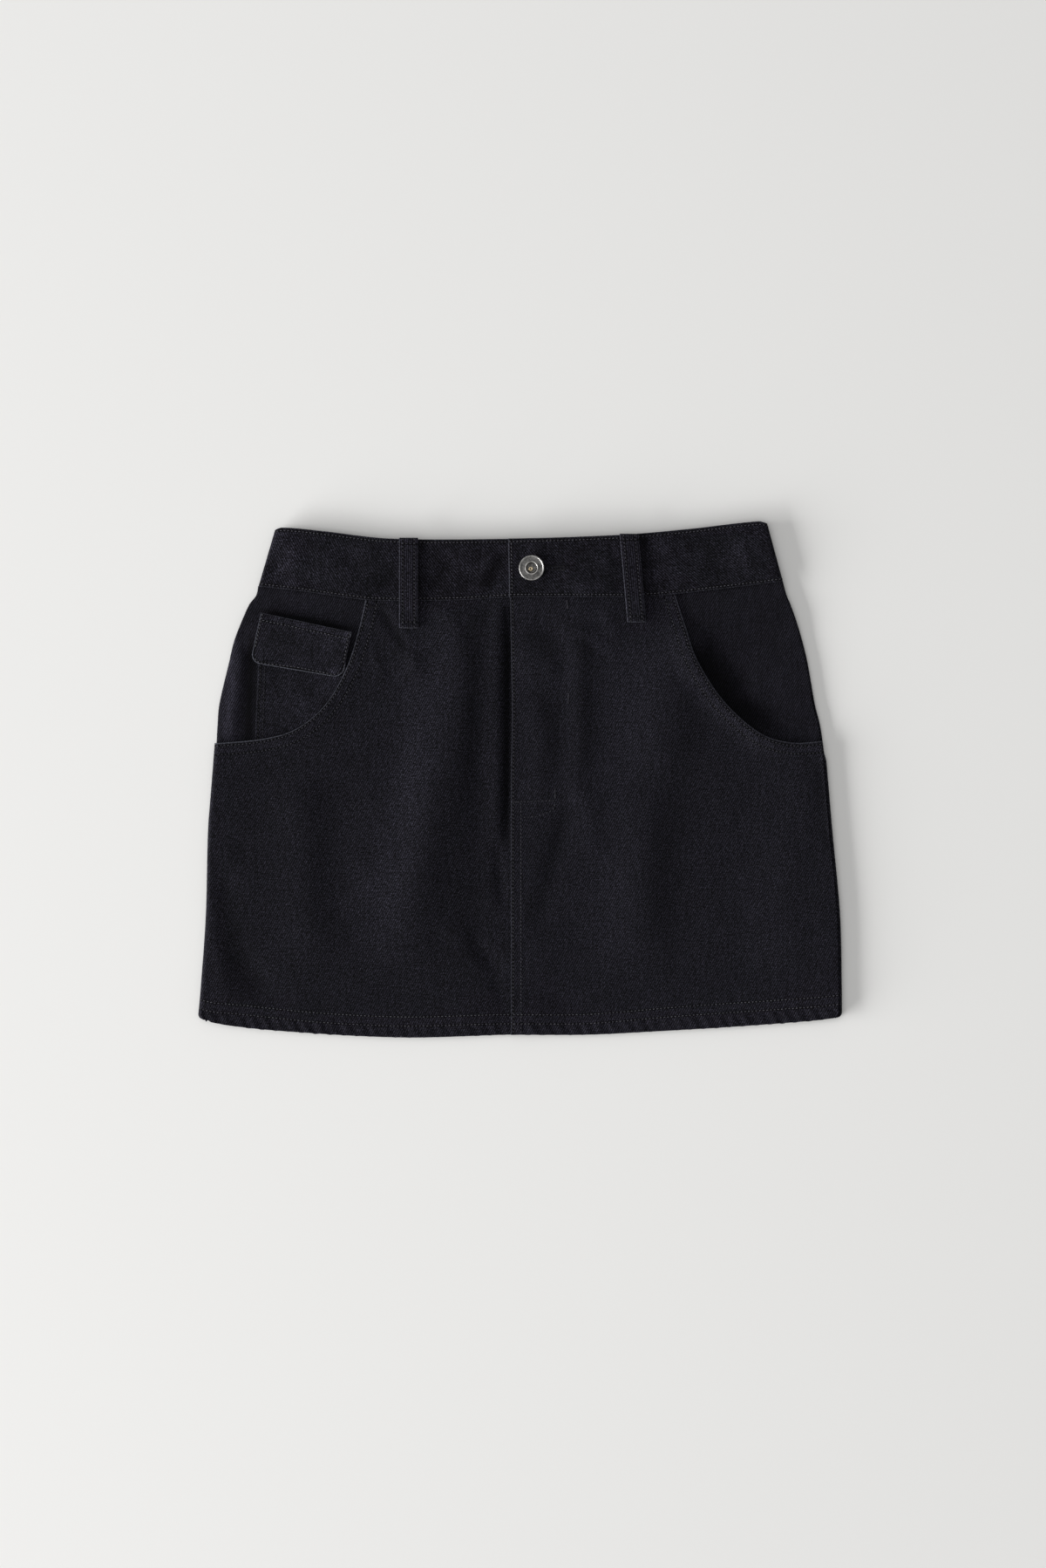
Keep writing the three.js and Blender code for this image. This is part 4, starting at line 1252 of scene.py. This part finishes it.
def sew_band(thread, dull_thread):
    stops = band_path()
    rows = []
    for away, from_top in ((1.8, False), (2.1, True)):
        row = []
        for i, stop in enumerate(stops):
            low, high = band_point(stop, 0), band_point(stop, 1)
            height = hypot(high.x - low.x, high.y - low.y)
            rise = 1 - away / height if from_top else away / height
            place = band_point(stop, rise)
            if i and (place - row[-1][0]).length < 0.05:
                continue
            after = band_point(stops[min(i + 1, len(stops) - 1)], rise)
            before = band_point(stops[max(i - 1, 0)], rise)
            outward = (after - before).cross(high - low).normalized()
            sunk = 0.08 if stop[2] == "back" else 0
            row.append((place - outward * sunk, outward))
        rows.append(row)
    end = []
    for k in range(26):
        rise = 0.06 + 0.88 * k / 25
        x, y = band_place(LAP_SEAM_X + 2.1, LAP_TOP_X + 2.1, rise)
        end.append((Vector((x, y, band_top("right", x, y) + 0.1)), Vector((0, 0, 1))))
    rows.append(end)
    purl = []
    for k in range(34):
        x = mix(BUTTON_X + 9.4, SLOT_END_X + 0.6, k / 33)
        for side in (-1, 1):
            purl.append(
                (
                    Vector((x, BUTTON_Y + side * 1.15, BAND_LAP_TOP + 0.04)),
                    Vector((0, 0, 1)),
                    Vector((0.1, 1, 0))
                )
            )
    stop_tack = follow(
        line((SLOT_END_X + 1.0, BUTTON_Y - 1.6), (SLOT_END_X + 1.0, BUTTON_Y + 1.6), 0.8),
        lambda x,
        y: BAND_LAP_TOP
    )
    return [
        threads("waistband_stitches", rows, (), thread),
        threads("buttonhole_stitches", (), [stop_tack], dull_thread, purl)
    ]


def sew_pocket(dull_thread, thread):
    def inside(shape, side, away, height_at, start=0.12, end=1.0):
        plan = []
        width = hypot(
            shape["lower_right"][0] - shape["lower_left"][0],
            shape["lower_right"][1] - shape["lower_left"][1]
        )
        share = away / width if side == "left" else 1 - away / width
        for k in range(60):
            plan.append(patch_place(shape, share, mix(start, end, k / 59))[:2])
        return follow(plan, height_at)

    pocket_rows = [
        inside(COIN_POCKET, "left", 2.1, pocket_height), inside(COIN_POCKET, "left", 5.6, pocket_height)
    ]
    edge = []
    for k in range(90):
        share = mix(0.02, 0.98, k / 89)
        x, y, _, _ = patch_place(COIN_FLAP, share, 0)
        middle_x_, middle_y_ = -150, 92
        pull = 1.35 / hypot(x - middle_x_, y - middle_y_)
        edge.append((mix(x, middle_x_, pull), mix(y, middle_y_, pull * 1.6)))
    left = [patch_place(COIN_FLAP, 0.021, mix(1, 0.25, k / 20))[:2] for k in range(21)]
    right = [patch_place(COIN_FLAP, 0.979, mix(0.25, 1, k / 20))[:2] for k in range(21)]
    below_top = []
    for k in range(60):
        x, y, _, _ = patch_place(COIN_FLAP, mix(0.02, 0.98, k / 59), 1)
        below_top.append((x - 0.6, y - 4.9))
    flap_rows = [
        follow(edge, flap_height),
        follow(left, flap_height),
        follow(right, flap_height),
        follow(below_top, flap_height)
    ]
    return threads(
        "coin_pocket_stitches", pocket_rows, (), dull_thread
    ), threads("coin_flap_stitches", flap_rows, (), thread)


def sew_loop(name, upper, lower, half, thread):
    rows = []
    for across in (-3.9, 3.9):
        row = []
        for k in range(41):
            place = loop_point(upper, lower, half, across, k / 40)
            row.append((place, Vector((0, 0, 1))))
        rows.append(row)
    tacks = []
    length = hypot(upper[0] - lower[0], upper[1] - lower[1])
    for rise in (4.4 / length, 1 - 4.0 / length):
        tacks.append(
            [(loop_point(upper, lower, half, across, rise), Vector((0, 0, 1))) for across in (-5.4, -2.7, 0, 2.7, 5.4)]
        )
    return threads(name + "_stitches", rows + tacks, (), thread)


def sew_back_loop(name, x, thread):
    """Two rows down a back loop and one across each end, drawn into its outer face."""
    lower_y, upper_y = seam_y(x) - BACK_LOOP_DROP + 0.4, top_y(x) - 1.4
    down = Vector((0, 0, -1))
    rows = [
        [
            (Vector((x + across, y, 0.1)), down) for _, y in line((0, lower_y), (0, upper_y))
        ] for across in (-3.9, 3.9)
    ]
    rows += [
        [(Vector((x + across, y, 0.1)), down) for across in (-5.4, 0, 5.4)] for y in (lower_y + 4, upper_y - 4)
    ]
    return threads(name + "_stitches", rows, (), thread)


# ---- button ----


def turned(name, profile, centre, steps, replaced):
    """A round metal piece, spun from its profile of (radius, height)."""
    bm = bmesh.new()
    points = [bm.verts.new(in_model(centre[0] + r, centre[1], centre[2] + z)) for r, z in profile]
    edges = [bm.edges.new(pair) for pair in zip(points, points[1:])]
    bmesh.ops.spin(
        bm,
        geom=points + edges,
        cent=in_model(*centre),
        axis=(0, 0, 1),
        angle=2 * pi,
        steps=steps,
        use_merge=True,
        use_duplicate=False,
    )
    bmesh.ops.remove_doubles(bm, verts=bm.verts, dist=2e-6)
    bmesh.ops.recalc_face_normals(bm, faces=bm.faces)
    mesh = bpy.data.meshes.new(name)
    bm.to_mesh(mesh)
    bm.free()
    for polygon in mesh.polygons:
        polygon.use_smooth = True
    piece = bpy.data.objects.new(name, mesh)
    bpy.context.scene.collection.objects.link(piece)
    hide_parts(replaced)
    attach(piece, "root")
    return piece


def make_button():
    base = (BUTTON_X, BUTTON_Y, 7.3)
    profile = [
        (0, 0),
        (2.75, 0),
        (2.75, 2.6),
        (7.4, 2.6),
        (8.1, 2.75),
        (8.6, 3.2),
        (8.75, 3.8),
        (8.74, 4.5),
        (8.62, 4.95),
        (8.4, 5.15),
        (8.12, 5.18),
        (7.85, 5.05),
        (7.68, 4.86),
        (7.5, 4.8),
        (6.2, 4.84),
        (4.9, 4.86),
        (4.62, 4.95),
        (4.4, 5.1),
        (4.1, 5.14),
        (3.85, 5.02),
        (3.68, 4.7),
        (3.55, 4.1),
        (3.4, 3.6),
        (3.1, 3.45),
        (0, 3.42),
    ]
    return turned("button_cap", profile, base, 96, "button")


def make_rivet():
    base = (BUTTON_X - 0.6, BUTTON_Y - 0.7, 11.05)
    profile = [
        (0.42, 0), (0.45, 0.7), (0.6, 1.0), (0.95, 1.12), (1.3, 1.0), (1.55, 0.7), (1.68, 0.3), (1.7, 0)
    ]
    return turned("button_rivet_head", profile, base, 48, "button_rivet")


# ---- finishes ----


def node(tree, kind, inputs=None, **settings):
    made = tree.nodes.new(kind)
    for key, value in settings.items():
        setattr(made, key, value)
    for key, value in (inputs or {}).items():
        if isinstance(value, bpy.types.NodeSocket):
            tree.links.new(value, made.inputs[key])
        else:
            made.inputs[key].default_value = value
    return made


def maths(tree, operation, a, b=None, c=None, clamp=False):
    inputs = {k: v for k, v in enumerate((a, b, c)) if v is not None}
    return node(tree, "ShaderNodeMath", inputs, operation=operation, use_clamp=clamp).outputs[0]


def between(tree, value, from_low, from_high, to_low=0.0, to_high=1.0):
    made = node(
        tree,
        "ShaderNodeMapRange",
        {0: value, 1: from_low, 2: from_high, 3: to_low, 4: to_high},
        interpolation_type="SMOOTHSTEP",
    )
    return made.outputs[0]


def tint(tree, share, a, b):
    made = node(tree, "ShaderNodeMix", data_type="RGBA")
    for socket, value in ((made.inputs[0], share), (made.inputs[6], a), (made.inputs[7], b)):
        if isinstance(value, bpy.types.NodeSocket):
            tree.links.new(value, socket)
        else:
            socket.default_value = value if isinstance(value, (int, float)) else (*value, 1)
    return made.outputs[2]


BLACK_YARN = (0.0138, 0.0132, 0.0187)
GAP_YARN = (0.0032, 0.0030, 0.0044)
# Pale yarn for specks of lint and for the lightened edges, which are partly wear and partly painted highlight
PALE_YARN = (0.076, 0.079, 0.096)


def black_denim(name, twill_angle, rows=(), worn_and_lit_edges=(), twill_period=1.4, shade=1.0, mottled=1.0, grain=1.0):
    """Black denim: twill ridges, slubs, mottling and specks of lint. rows are (mark, distance) of stitched
    lines that pull the cloth down, darkened with painted shade along them; the edges given after them are (mark,
    width, strength) of edges made lighter, partly by wear and partly as a painted highlight where they face the light."""
    cloth = bpy.data.materials.new(name)
    cloth.use_nodes = True
    tree = cloth.node_tree
    shader = tree.nodes["Principled BSDF"]
    weave = node(tree, "ShaderNodeUVMap", uv_map="weave").outputs[0]
    turned_weave = node(
        tree, "ShaderNodeMapping", {"Vector": weave, "Rotation": (0, 0, radians(90 - twill_angle))}
    ).outputs[0]
    ridge = node(
        tree,
        "ShaderNodeTexWave",
        {
            "Vector": turned_weave,
            "Scale": 31.416 / twill_period,
            "Distortion": 1.1,
            "Detail": 2.0,
            "Detail Scale": 1.7
        },
        wave_type="BANDS",
        bands_direction="X",
    ).outputs["Fac"]
    yarn = node(
        tree,
        "ShaderNodeTexWave",
        {"Vector": weave, "Scale": 31.416 / 0.42, "Distortion": 2.5, "Detail": 1.0, "Detail Scale": 0.6},
        wave_type="BANDS",
        bands_direction="X",
    ).outputs["Fac"]
    fine = node(
        tree, "ShaderNodeTexNoise", {"Vector": weave, "Scale": 95, "Detail": 3.0, "Roughness": 0.65}
    ).outputs["Fac"]
    long_weave = node(tree, "ShaderNodeMapping", {"Vector": weave, "Scale": (60, 5, 1)}).outputs[0]
    slub = node(
        tree, "ShaderNodeTexNoise", {"Vector": long_weave, "Scale": 1, "Detail": 2.0}
    ).outputs["Fac"]
    patchy = node(
        tree, "ShaderNodeTexNoise", {"Vector": weave, "Scale": 3.2, "Detail": 5.0, "Roughness": 0.6}
    ).outputs["Fac"]
    lint = node(
        tree, "ShaderNodeTexVoronoi", {"Vector": weave, "Scale": 7.5, "Randomness": 1.0}, feature="F1"
    )
    speck = between(tree, lint.outputs["Distance"], 0.016, 0.03, 1.0, 0.0)

    top = between(tree, ridge, 0.15, 0.8)
    top = maths(tree, "MULTIPLY", top, between(tree, yarn, 0.0, 0.7, 0.7, 1.0))
    colour = tint(tree, top, tuple(c * shade for c in GAP_YARN), tuple(c * shade for c in BLACK_YARN))
    coarse = node(
        tree, "ShaderNodeTexNoise", {"Vector": weave, "Scale": 52, "Detail": 2.0, "Roughness": 0.7}
    ).outputs["Fac"]
    blotch = node(
        tree, "ShaderNodeTexNoise", {"Vector": weave, "Scale": 11, "Detail": 3.0, "Roughness": 0.6}
    ).outputs["Fac"]
    tone = maths(
        tree,
        "ADD",
        between(tree, fine, 0.3, 0.7, 1 - 0.95 * grain, 1 + 0.95 * grain),
        between(tree, slub, 0.3, 0.7, -0.16, 0.16)
    )
    tone = maths(tree, "MULTIPLY", tone, between(tree, coarse, 0.3, 0.7, 1 - 0.5 * grain, 1 + 0.5 * grain))
    tone = maths(
        tree, "MULTIPLY", tone, between(tree, blotch, 0.34, 0.66, 1 - 0.11 * mottled, 1 + 0.11 * mottled)
    )
    tone = maths(
        tree, "MULTIPLY", tone, between(tree, patchy, 0.3, 0.7, 1 - 0.1 * mottled, 1 + 0.1 * mottled)
    )
    # Painted light and shade, with a little wear, from the listed patches: the tone is scaled by one plus the mark
    shade_and_wear_paint = node(tree, "ShaderNodeAttribute", attribute_name="painted_shade_and_wear").outputs["Fac"]
    tone = maths(tree, "MULTIPLY", tone, maths(tree, "ADD", 1.0, shade_and_wear_paint))
    stitch_groove = None
    for mark, distance in rows:
        away = node(tree, "ShaderNodeAttribute", attribute_name=mark).outputs["Fac"]
        near = maths(tree, "ABSOLUTE", maths(tree, "SUBTRACT", away, distance))
        dip = between(tree, near, 0.3, 0.85, 1.0, 0.0)
        stitch_groove = dip if stitch_groove is None else maths(tree, "MAXIMUM", stitch_groove, dip)
    # Painted shade: along each stitched row the tone falls to a fifth, as shade in the groove the stitching presses
    # into the cloth
    if stitch_groove is not None:
        tone = maths(tree, "MULTIPLY", tone, between(tree, stitch_groove, 0.0, 1.0, 1.0, 0.2))
    colour = node(tree, "ShaderNodeVectorMath", {0: colour}, operation="SCALE")
    tree.links.new(tone, colour.inputs["Scale"])
    colour = colour.outputs[0]
    wear_and_highlight = None
    for mark, width, strength in worn_and_lit_edges:
        away = node(tree, "ShaderNodeAttribute", attribute_name=mark).outputs["Fac"]
        edge = between(tree, away, width * 0.35, width, strength, 0.0)
        wear_and_highlight = edge if wear_and_highlight is None else maths(tree, "MAXIMUM", wear_and_highlight, edge)
    # The lightened edges: wear, and a painted highlight on edges that face the light
    if wear_and_highlight is not None:
        wear_and_highlight = maths(tree, "MULTIPLY", wear_and_highlight, between(tree, fine, 0.3, 0.68, 0.25, 1.0), clamp=True)
        colour = tint(tree, wear_and_highlight, colour, PALE_YARN)
    colour = tint(tree, maths(tree, "MULTIPLY", speck, 0.35), colour, PALE_YARN)
    tree.links.new(colour, shader.inputs["Base Color"])
    tree.links.new(between(tree, top, 0.0, 1.0, 1.0, 0.82), shader.inputs["Roughness"])
    shader.inputs["Specular IOR Level"].default_value = 0.08
    relief = maths(tree, "ADD", maths(tree, "MULTIPLY", top, 0.6), maths(tree, "MULTIPLY", fine, 0.5))
    bump = node(tree, "ShaderNodeBump", {"Height": relief, "Strength": 0.55, "Distance": 0.00016})
    if stitch_groove is not None:
        groove = node(
            tree,
            "ShaderNodeBump",
            {"Height": maths(tree, "SUBTRACT", 1.0, stitch_groove), "Strength": 0.8, "Distance": 0.0003}
        )
        tree.links.new(bump.outputs[0], groove.inputs["Normal"])
        bump = groove
    tree.links.new(bump.outputs[0], shader.inputs["Normal"])
    return cloth


def black_thread(name, dark, light):
    thread = bpy.data.materials.new(name)
    thread.use_nodes = True
    tree = thread.node_tree
    shader = tree.nodes["Principled BSDF"]
    place = node(tree, "ShaderNodeTexCoord").outputs["Object"]
    twist = node(
        tree,
        "ShaderNodeTexWave",
        {"Vector": place, "Scale": 900, "Distortion": 1.0},
        bands_direction="DIAGONAL"
    ).outputs["Fac"]
    uneven = node(tree, "ShaderNodeTexNoise", {"Vector": place, "Scale": 420, "Detail": 2.0}).outputs["Fac"]
    colour = tint(tree, between(tree, uneven, 0.3, 0.7), dark, light)
    tree.links.new(colour, shader.inputs["Base Color"])
    tree.links.new(between(tree, twist, 0.0, 1.0, 0.6, 0.85), shader.inputs["Roughness"])
    shader.inputs["Specular IOR Level"].default_value = 0.12
    bump = node(tree, "ShaderNodeBump", {"Height": twist, "Strength": 0.4, "Distance": 0.0001})
    tree.links.new(bump.outputs[0], shader.inputs["Normal"])
    return thread


def brushed_metal(name, centre, dark, light, rough, darkened_rings=()):
    """Metal brushed in circles round a centre, with dull patches, and rings whose colour is scaled down,
    each given as its two radii and the share of its shade that is left."""
    metal = bpy.data.materials.new(name)
    metal.use_nodes = True
    tree = metal.node_tree
    shader = tree.nodes["Principled BSDF"]
    place = node(tree, "ShaderNodeTexCoord").outputs["Object"]
    middle = in_model(*centre)
    centred = node(
        tree, "ShaderNodeMapping", {"Vector": place, "Location": tuple(-c for c in middle)}
    ).outputs[0]
    rings = node(
        tree,
        "ShaderNodeTexWave",
        {"Vector": centred, "Scale": 900, "Distortion": 3.0, "Detail": 3.0, "Detail Scale": 0.8},
        wave_type="RINGS",
        rings_direction="Z",
    ).outputs["Fac"]
    dull = node(tree, "ShaderNodeTexNoise", {"Vector": place, "Scale": 700, "Detail": 4.0}).outputs["Fac"]
    share = maths(
        tree, "MULTIPLY", between(tree, dull, 0.3, 0.7), between(tree, rings, 0.0, 1.0, 0.75, 1.0)
    )
    outwards = node(
        tree, "ShaderNodeVectorMath", {0: centred, 1: (1, 1, 0)}, operation="MULTIPLY"
    ).outputs[0]
    radius = node(tree, "ShaderNodeVectorMath", {0: outwards}, operation="LENGTH").outputs["Value"]
    colour = tint(tree, share, dark, light)
    for inner, outer, left in darkened_rings:
        inside = between(tree, radius, inner / 1000 - 0.0002, inner / 1000 + 0.0002)
        outside = between(tree, radius, outer / 1000 - 0.0002, outer / 1000 + 0.0002, 1.0, 0.0)
        ring = maths(tree, "MULTIPLY", inside, outside)
        darker = node(tree, "ShaderNodeVectorMath", {0: colour}, operation="SCALE")
        tree.links.new(between(tree, ring, 0.0, 1.0, 1.0, left), darker.inputs["Scale"])
        colour = darker.outputs[0]
    tree.links.new(colour, shader.inputs["Base Color"])
    tree.links.new(between(tree, dull, 0.3, 0.7, rough + 0.12, rough), shader.inputs["Roughness"])
    shader.inputs["Metallic"].default_value = 1.0
    bump = node(tree, "ShaderNodeBump", {"Height": rings, "Strength": 0.25, "Distance": 0.00005})
    tree.links.new(bump.outputs[0], shader.inputs["Normal"])
    return metal


# ---- the scene around the skirt ----


def plain_floor():
    bm = bmesh.new()
    bmesh.ops.create_grid(bm, x_segments=2, y_segments=2, size=4)
    mesh = bpy.data.meshes.new("floor")
    bm.to_mesh(mesh)
    bm.free()
    floor = bpy.data.objects.new("floor", mesh)
    bpy.context.scene.collection.objects.link(floor)
    paint = bpy.data.materials.new("pale_matt_paper")
    paint.use_nodes = True
    shader = paint.node_tree.nodes["Principled BSDF"]
    shader.inputs["Base Color"].default_value = (0.80, 0.796, 0.782, 1)
    shader.inputs["Roughness"].default_value = 0.95
    shader.inputs["Specular IOR Level"].default_value = 0.05
    mesh.materials.append(paint)
    return floor


def soft_light(name, place, aim, width, height, power, colour=(1, 1, 1)):
    data = bpy.data.lights.new(name, "AREA")
    data.shape = "RECTANGLE"
    data.size, data.size_y = width, height
    data.energy = power
    data.color = colour
    light = bpy.data.objects.new(name, data)
    light.location = place
    light.rotation_euler = (Vector(aim) - Vector(place)).to_track_quat("-Z", "Y").to_euler()
    bpy.context.scene.collection.objects.link(light)
    return light


def camera_above():
    data = bpy.data.cameras.new("camera")
    data.sensor_width = 36
    data.lens = 80.1
    data.clip_end = 20
    camera = bpy.data.objects.new("camera", data)
    camera.location = (0.0021 + SHIFT.x, -0.003 + SHIFT.y, 2.405)
    bpy.context.scene.collection.objects.link(camera)
    bpy.context.scene.camera = camera


plain_floor()
camera_above()
soft_light("window", (-6.25, -2.3, 1.3), (0.3, 0, 0), 6.5, 2.5, 1195)
soft_light("overhead", (-0.8, 0.3, 3.4), (0, 0, 0), 4.0, 4.0, 44)
world = bpy.data.worlds.new("room")
world.use_nodes = True
world.node_tree.nodes["Background"].inputs["Color"].default_value = (1, 1, 1, 1)
world.node_tree.nodes["Background"].inputs["Strength"].default_value = 0.32
bpy.context.scene.world = world
bpy.context.scene.view_settings.view_transform = "Standard"

thread = black_thread("black_topstitch_thread", (0.016, 0.0154, 0.0195), (0.034, 0.033, 0.040))
# Painted light: a lighter copy of the topstitch thread, for the hem, waistband and coin flap rows, which look brighter
# in this light than the vertical rows
painted_light_thread = black_thread("topstitch_thread_painted_lighter", (0.026, 0.0253, 0.031), (0.054, 0.053, 0.062))
dull_thread = black_thread("black_bar_tack_thread", (0.006, 0.0058, 0.0072), (0.012, 0.0115, 0.0145))
# Each cloth's shade scales its colour to how bright its piece looks under these lamps, so some of the difference
# between pieces is painted light
hem_rows = [("hem_row", 0.0), ("hem_row", -HEM_ROW_STEP)]
# The left pocket mouth's edge, which faces the light, is lightened more strongly than the right one: painted highlight
# on top of wear
left_denim = black_denim(
    "black_denim_left_front", 62, hem_rows + [("from_mouth", 2.1), ("from_mouth", 8.3)], [
        ("from_mouth", 1.3, 0.9), ("above_hem", 0.8, 0.2)
    ], shade=0.99, mottled=0.8
)
right_denim = black_denim(
    "black_denim_right_front",
    62,
    hem_rows + [("from_mouth", 2.1), ("from_mouth", 7.6), ("from_middle", 1.75)],
    [("from_mouth", 1.0, 0.45), ("above_hem", 0.8, 0.2), ("from_middle", 0.7, 0.3)],
    shade=1.1,
    mottled=0.6,
    grain=0.9,
)
back_denim = black_denim("black_denim_back", 62, hem_rows, [("above_hem", 0.8, 0.2)])
facing_denim = black_denim("black_denim_facing", 62, shade=0.98, grain=0.6)
band_denim = black_denim(
    "black_denim_waistband",
    130,
    [("above_seam", 1.8), ("below_top", 2.1), ("from_lap_end", 2.1)],
    [("below_top", 0.7, 0.3), ("from_lap_end", 0.8, 0.7), ("above_seam", 0.7, 0.15)],
    mottled=2.4,
    grain=1.15,
)
pocket_denim = black_denim(
    "black_denim_coin_pocket", 62, [("from_edge", 2.1)], [("from_edge", 0.6, 0.15)], shade=1.1, mottled=2.0
)
flap_denim = black_denim(
    "black_denim_coin_flap",
    62,
    [("from_edge", 1.35), ("from_top", 4.9)],
    [("from_worn_and_lit_edge", 0.9, 0.9), ("from_top", 0.8, 0.3)],
    shade=1.08,
    mottled=2.0
)
# The belt loops' shade of 1.35 is painted light: they stand up into the light and look lighter than the panels
loop_denim = black_denim(
    "black_denim_belt_loop",
    90,
    [("from_edge", 2.6), ("from_end", 4.4)],
    [("from_edge", 0.6, 0.25), ("from_end", 0.7, 0.4)],
    shade=1.35
)

left_front = lay_front("left")
right_front = lay_front("right")
back = lay_back()
left_facing = lay_facing("left")
right_facing = lay_facing("right")
waistband = lay_waistband()
coin_pocket = lay_patch(
    "coin_pocket_cloth", COIN_POCKET, 30, 36, pocket_height, DENIM, 0.3, "coin_pocket", "pocket"
)
coin_flap = lay_patch("coin_flap_cloth", COIN_FLAP, 30, 18, flap_height, FOLDED, 0.5, "coin_flap", "flap")
shield = lay_shield()
front_loops = [lay_front_loop(*loop) for loop in FRONT_LOOPS]
back_loops = [lay_back_loop(*loop) for loop in BACK_LOOPS]
for piece, cloth in [
    (left_front, left_denim),
    (right_front, right_denim),
    (back, back_denim),
    (left_facing, facing_denim),
    (right_facing, facing_denim),
    (waistband, band_denim),
    (coin_pocket, pocket_denim),
    (coin_flap, flap_denim),
    (shield, facing_denim),
] + [(loop, loop_denim) for loop in front_loops + back_loops]:
    piece.data.materials.append(cloth)

front_stitches = sew_fronts(thread, painted_light_thread, dull_thread)
back_stitches = sew_back(thread)
band_stitches = sew_band(painted_light_thread, dull_thread)
pocket_stitches, flap_stitches = sew_pocket(dull_thread, painted_light_thread)
loop_stitches = [sew_loop(*loop, thread) for loop in FRONT_LOOPS]
back_loop_stitches = [sew_back_loop(*loop, thread) for loop in BACK_LOOPS]

button = make_button()
button.data.materials.append(
    brushed_metal(
        "brushed_steel",
        (BUTTON_X, BUTTON_Y, 12),
        (0.22, 0.215, 0.21),
        (0.5, 0.49, 0.475),
        0.3,
        # Painted shade: the centre, inside 3.55 mm, is darkened as the shade in the button's recess; the flat ring
        # from 4.7 to 7.5 mm is darker as well
        [(4.7, 7.5, 0.3), (0.0, 3.55, 0.3)]
    )
)
rivet = make_rivet()
rivet.data.materials.append(
    brushed_metal(
        "pale_brass", (BUTTON_X - 0.6, BUTTON_Y - 0.7, 12), (0.34, 0.27, 0.17), (0.72, 0.62, 0.45), 0.24
    )
)
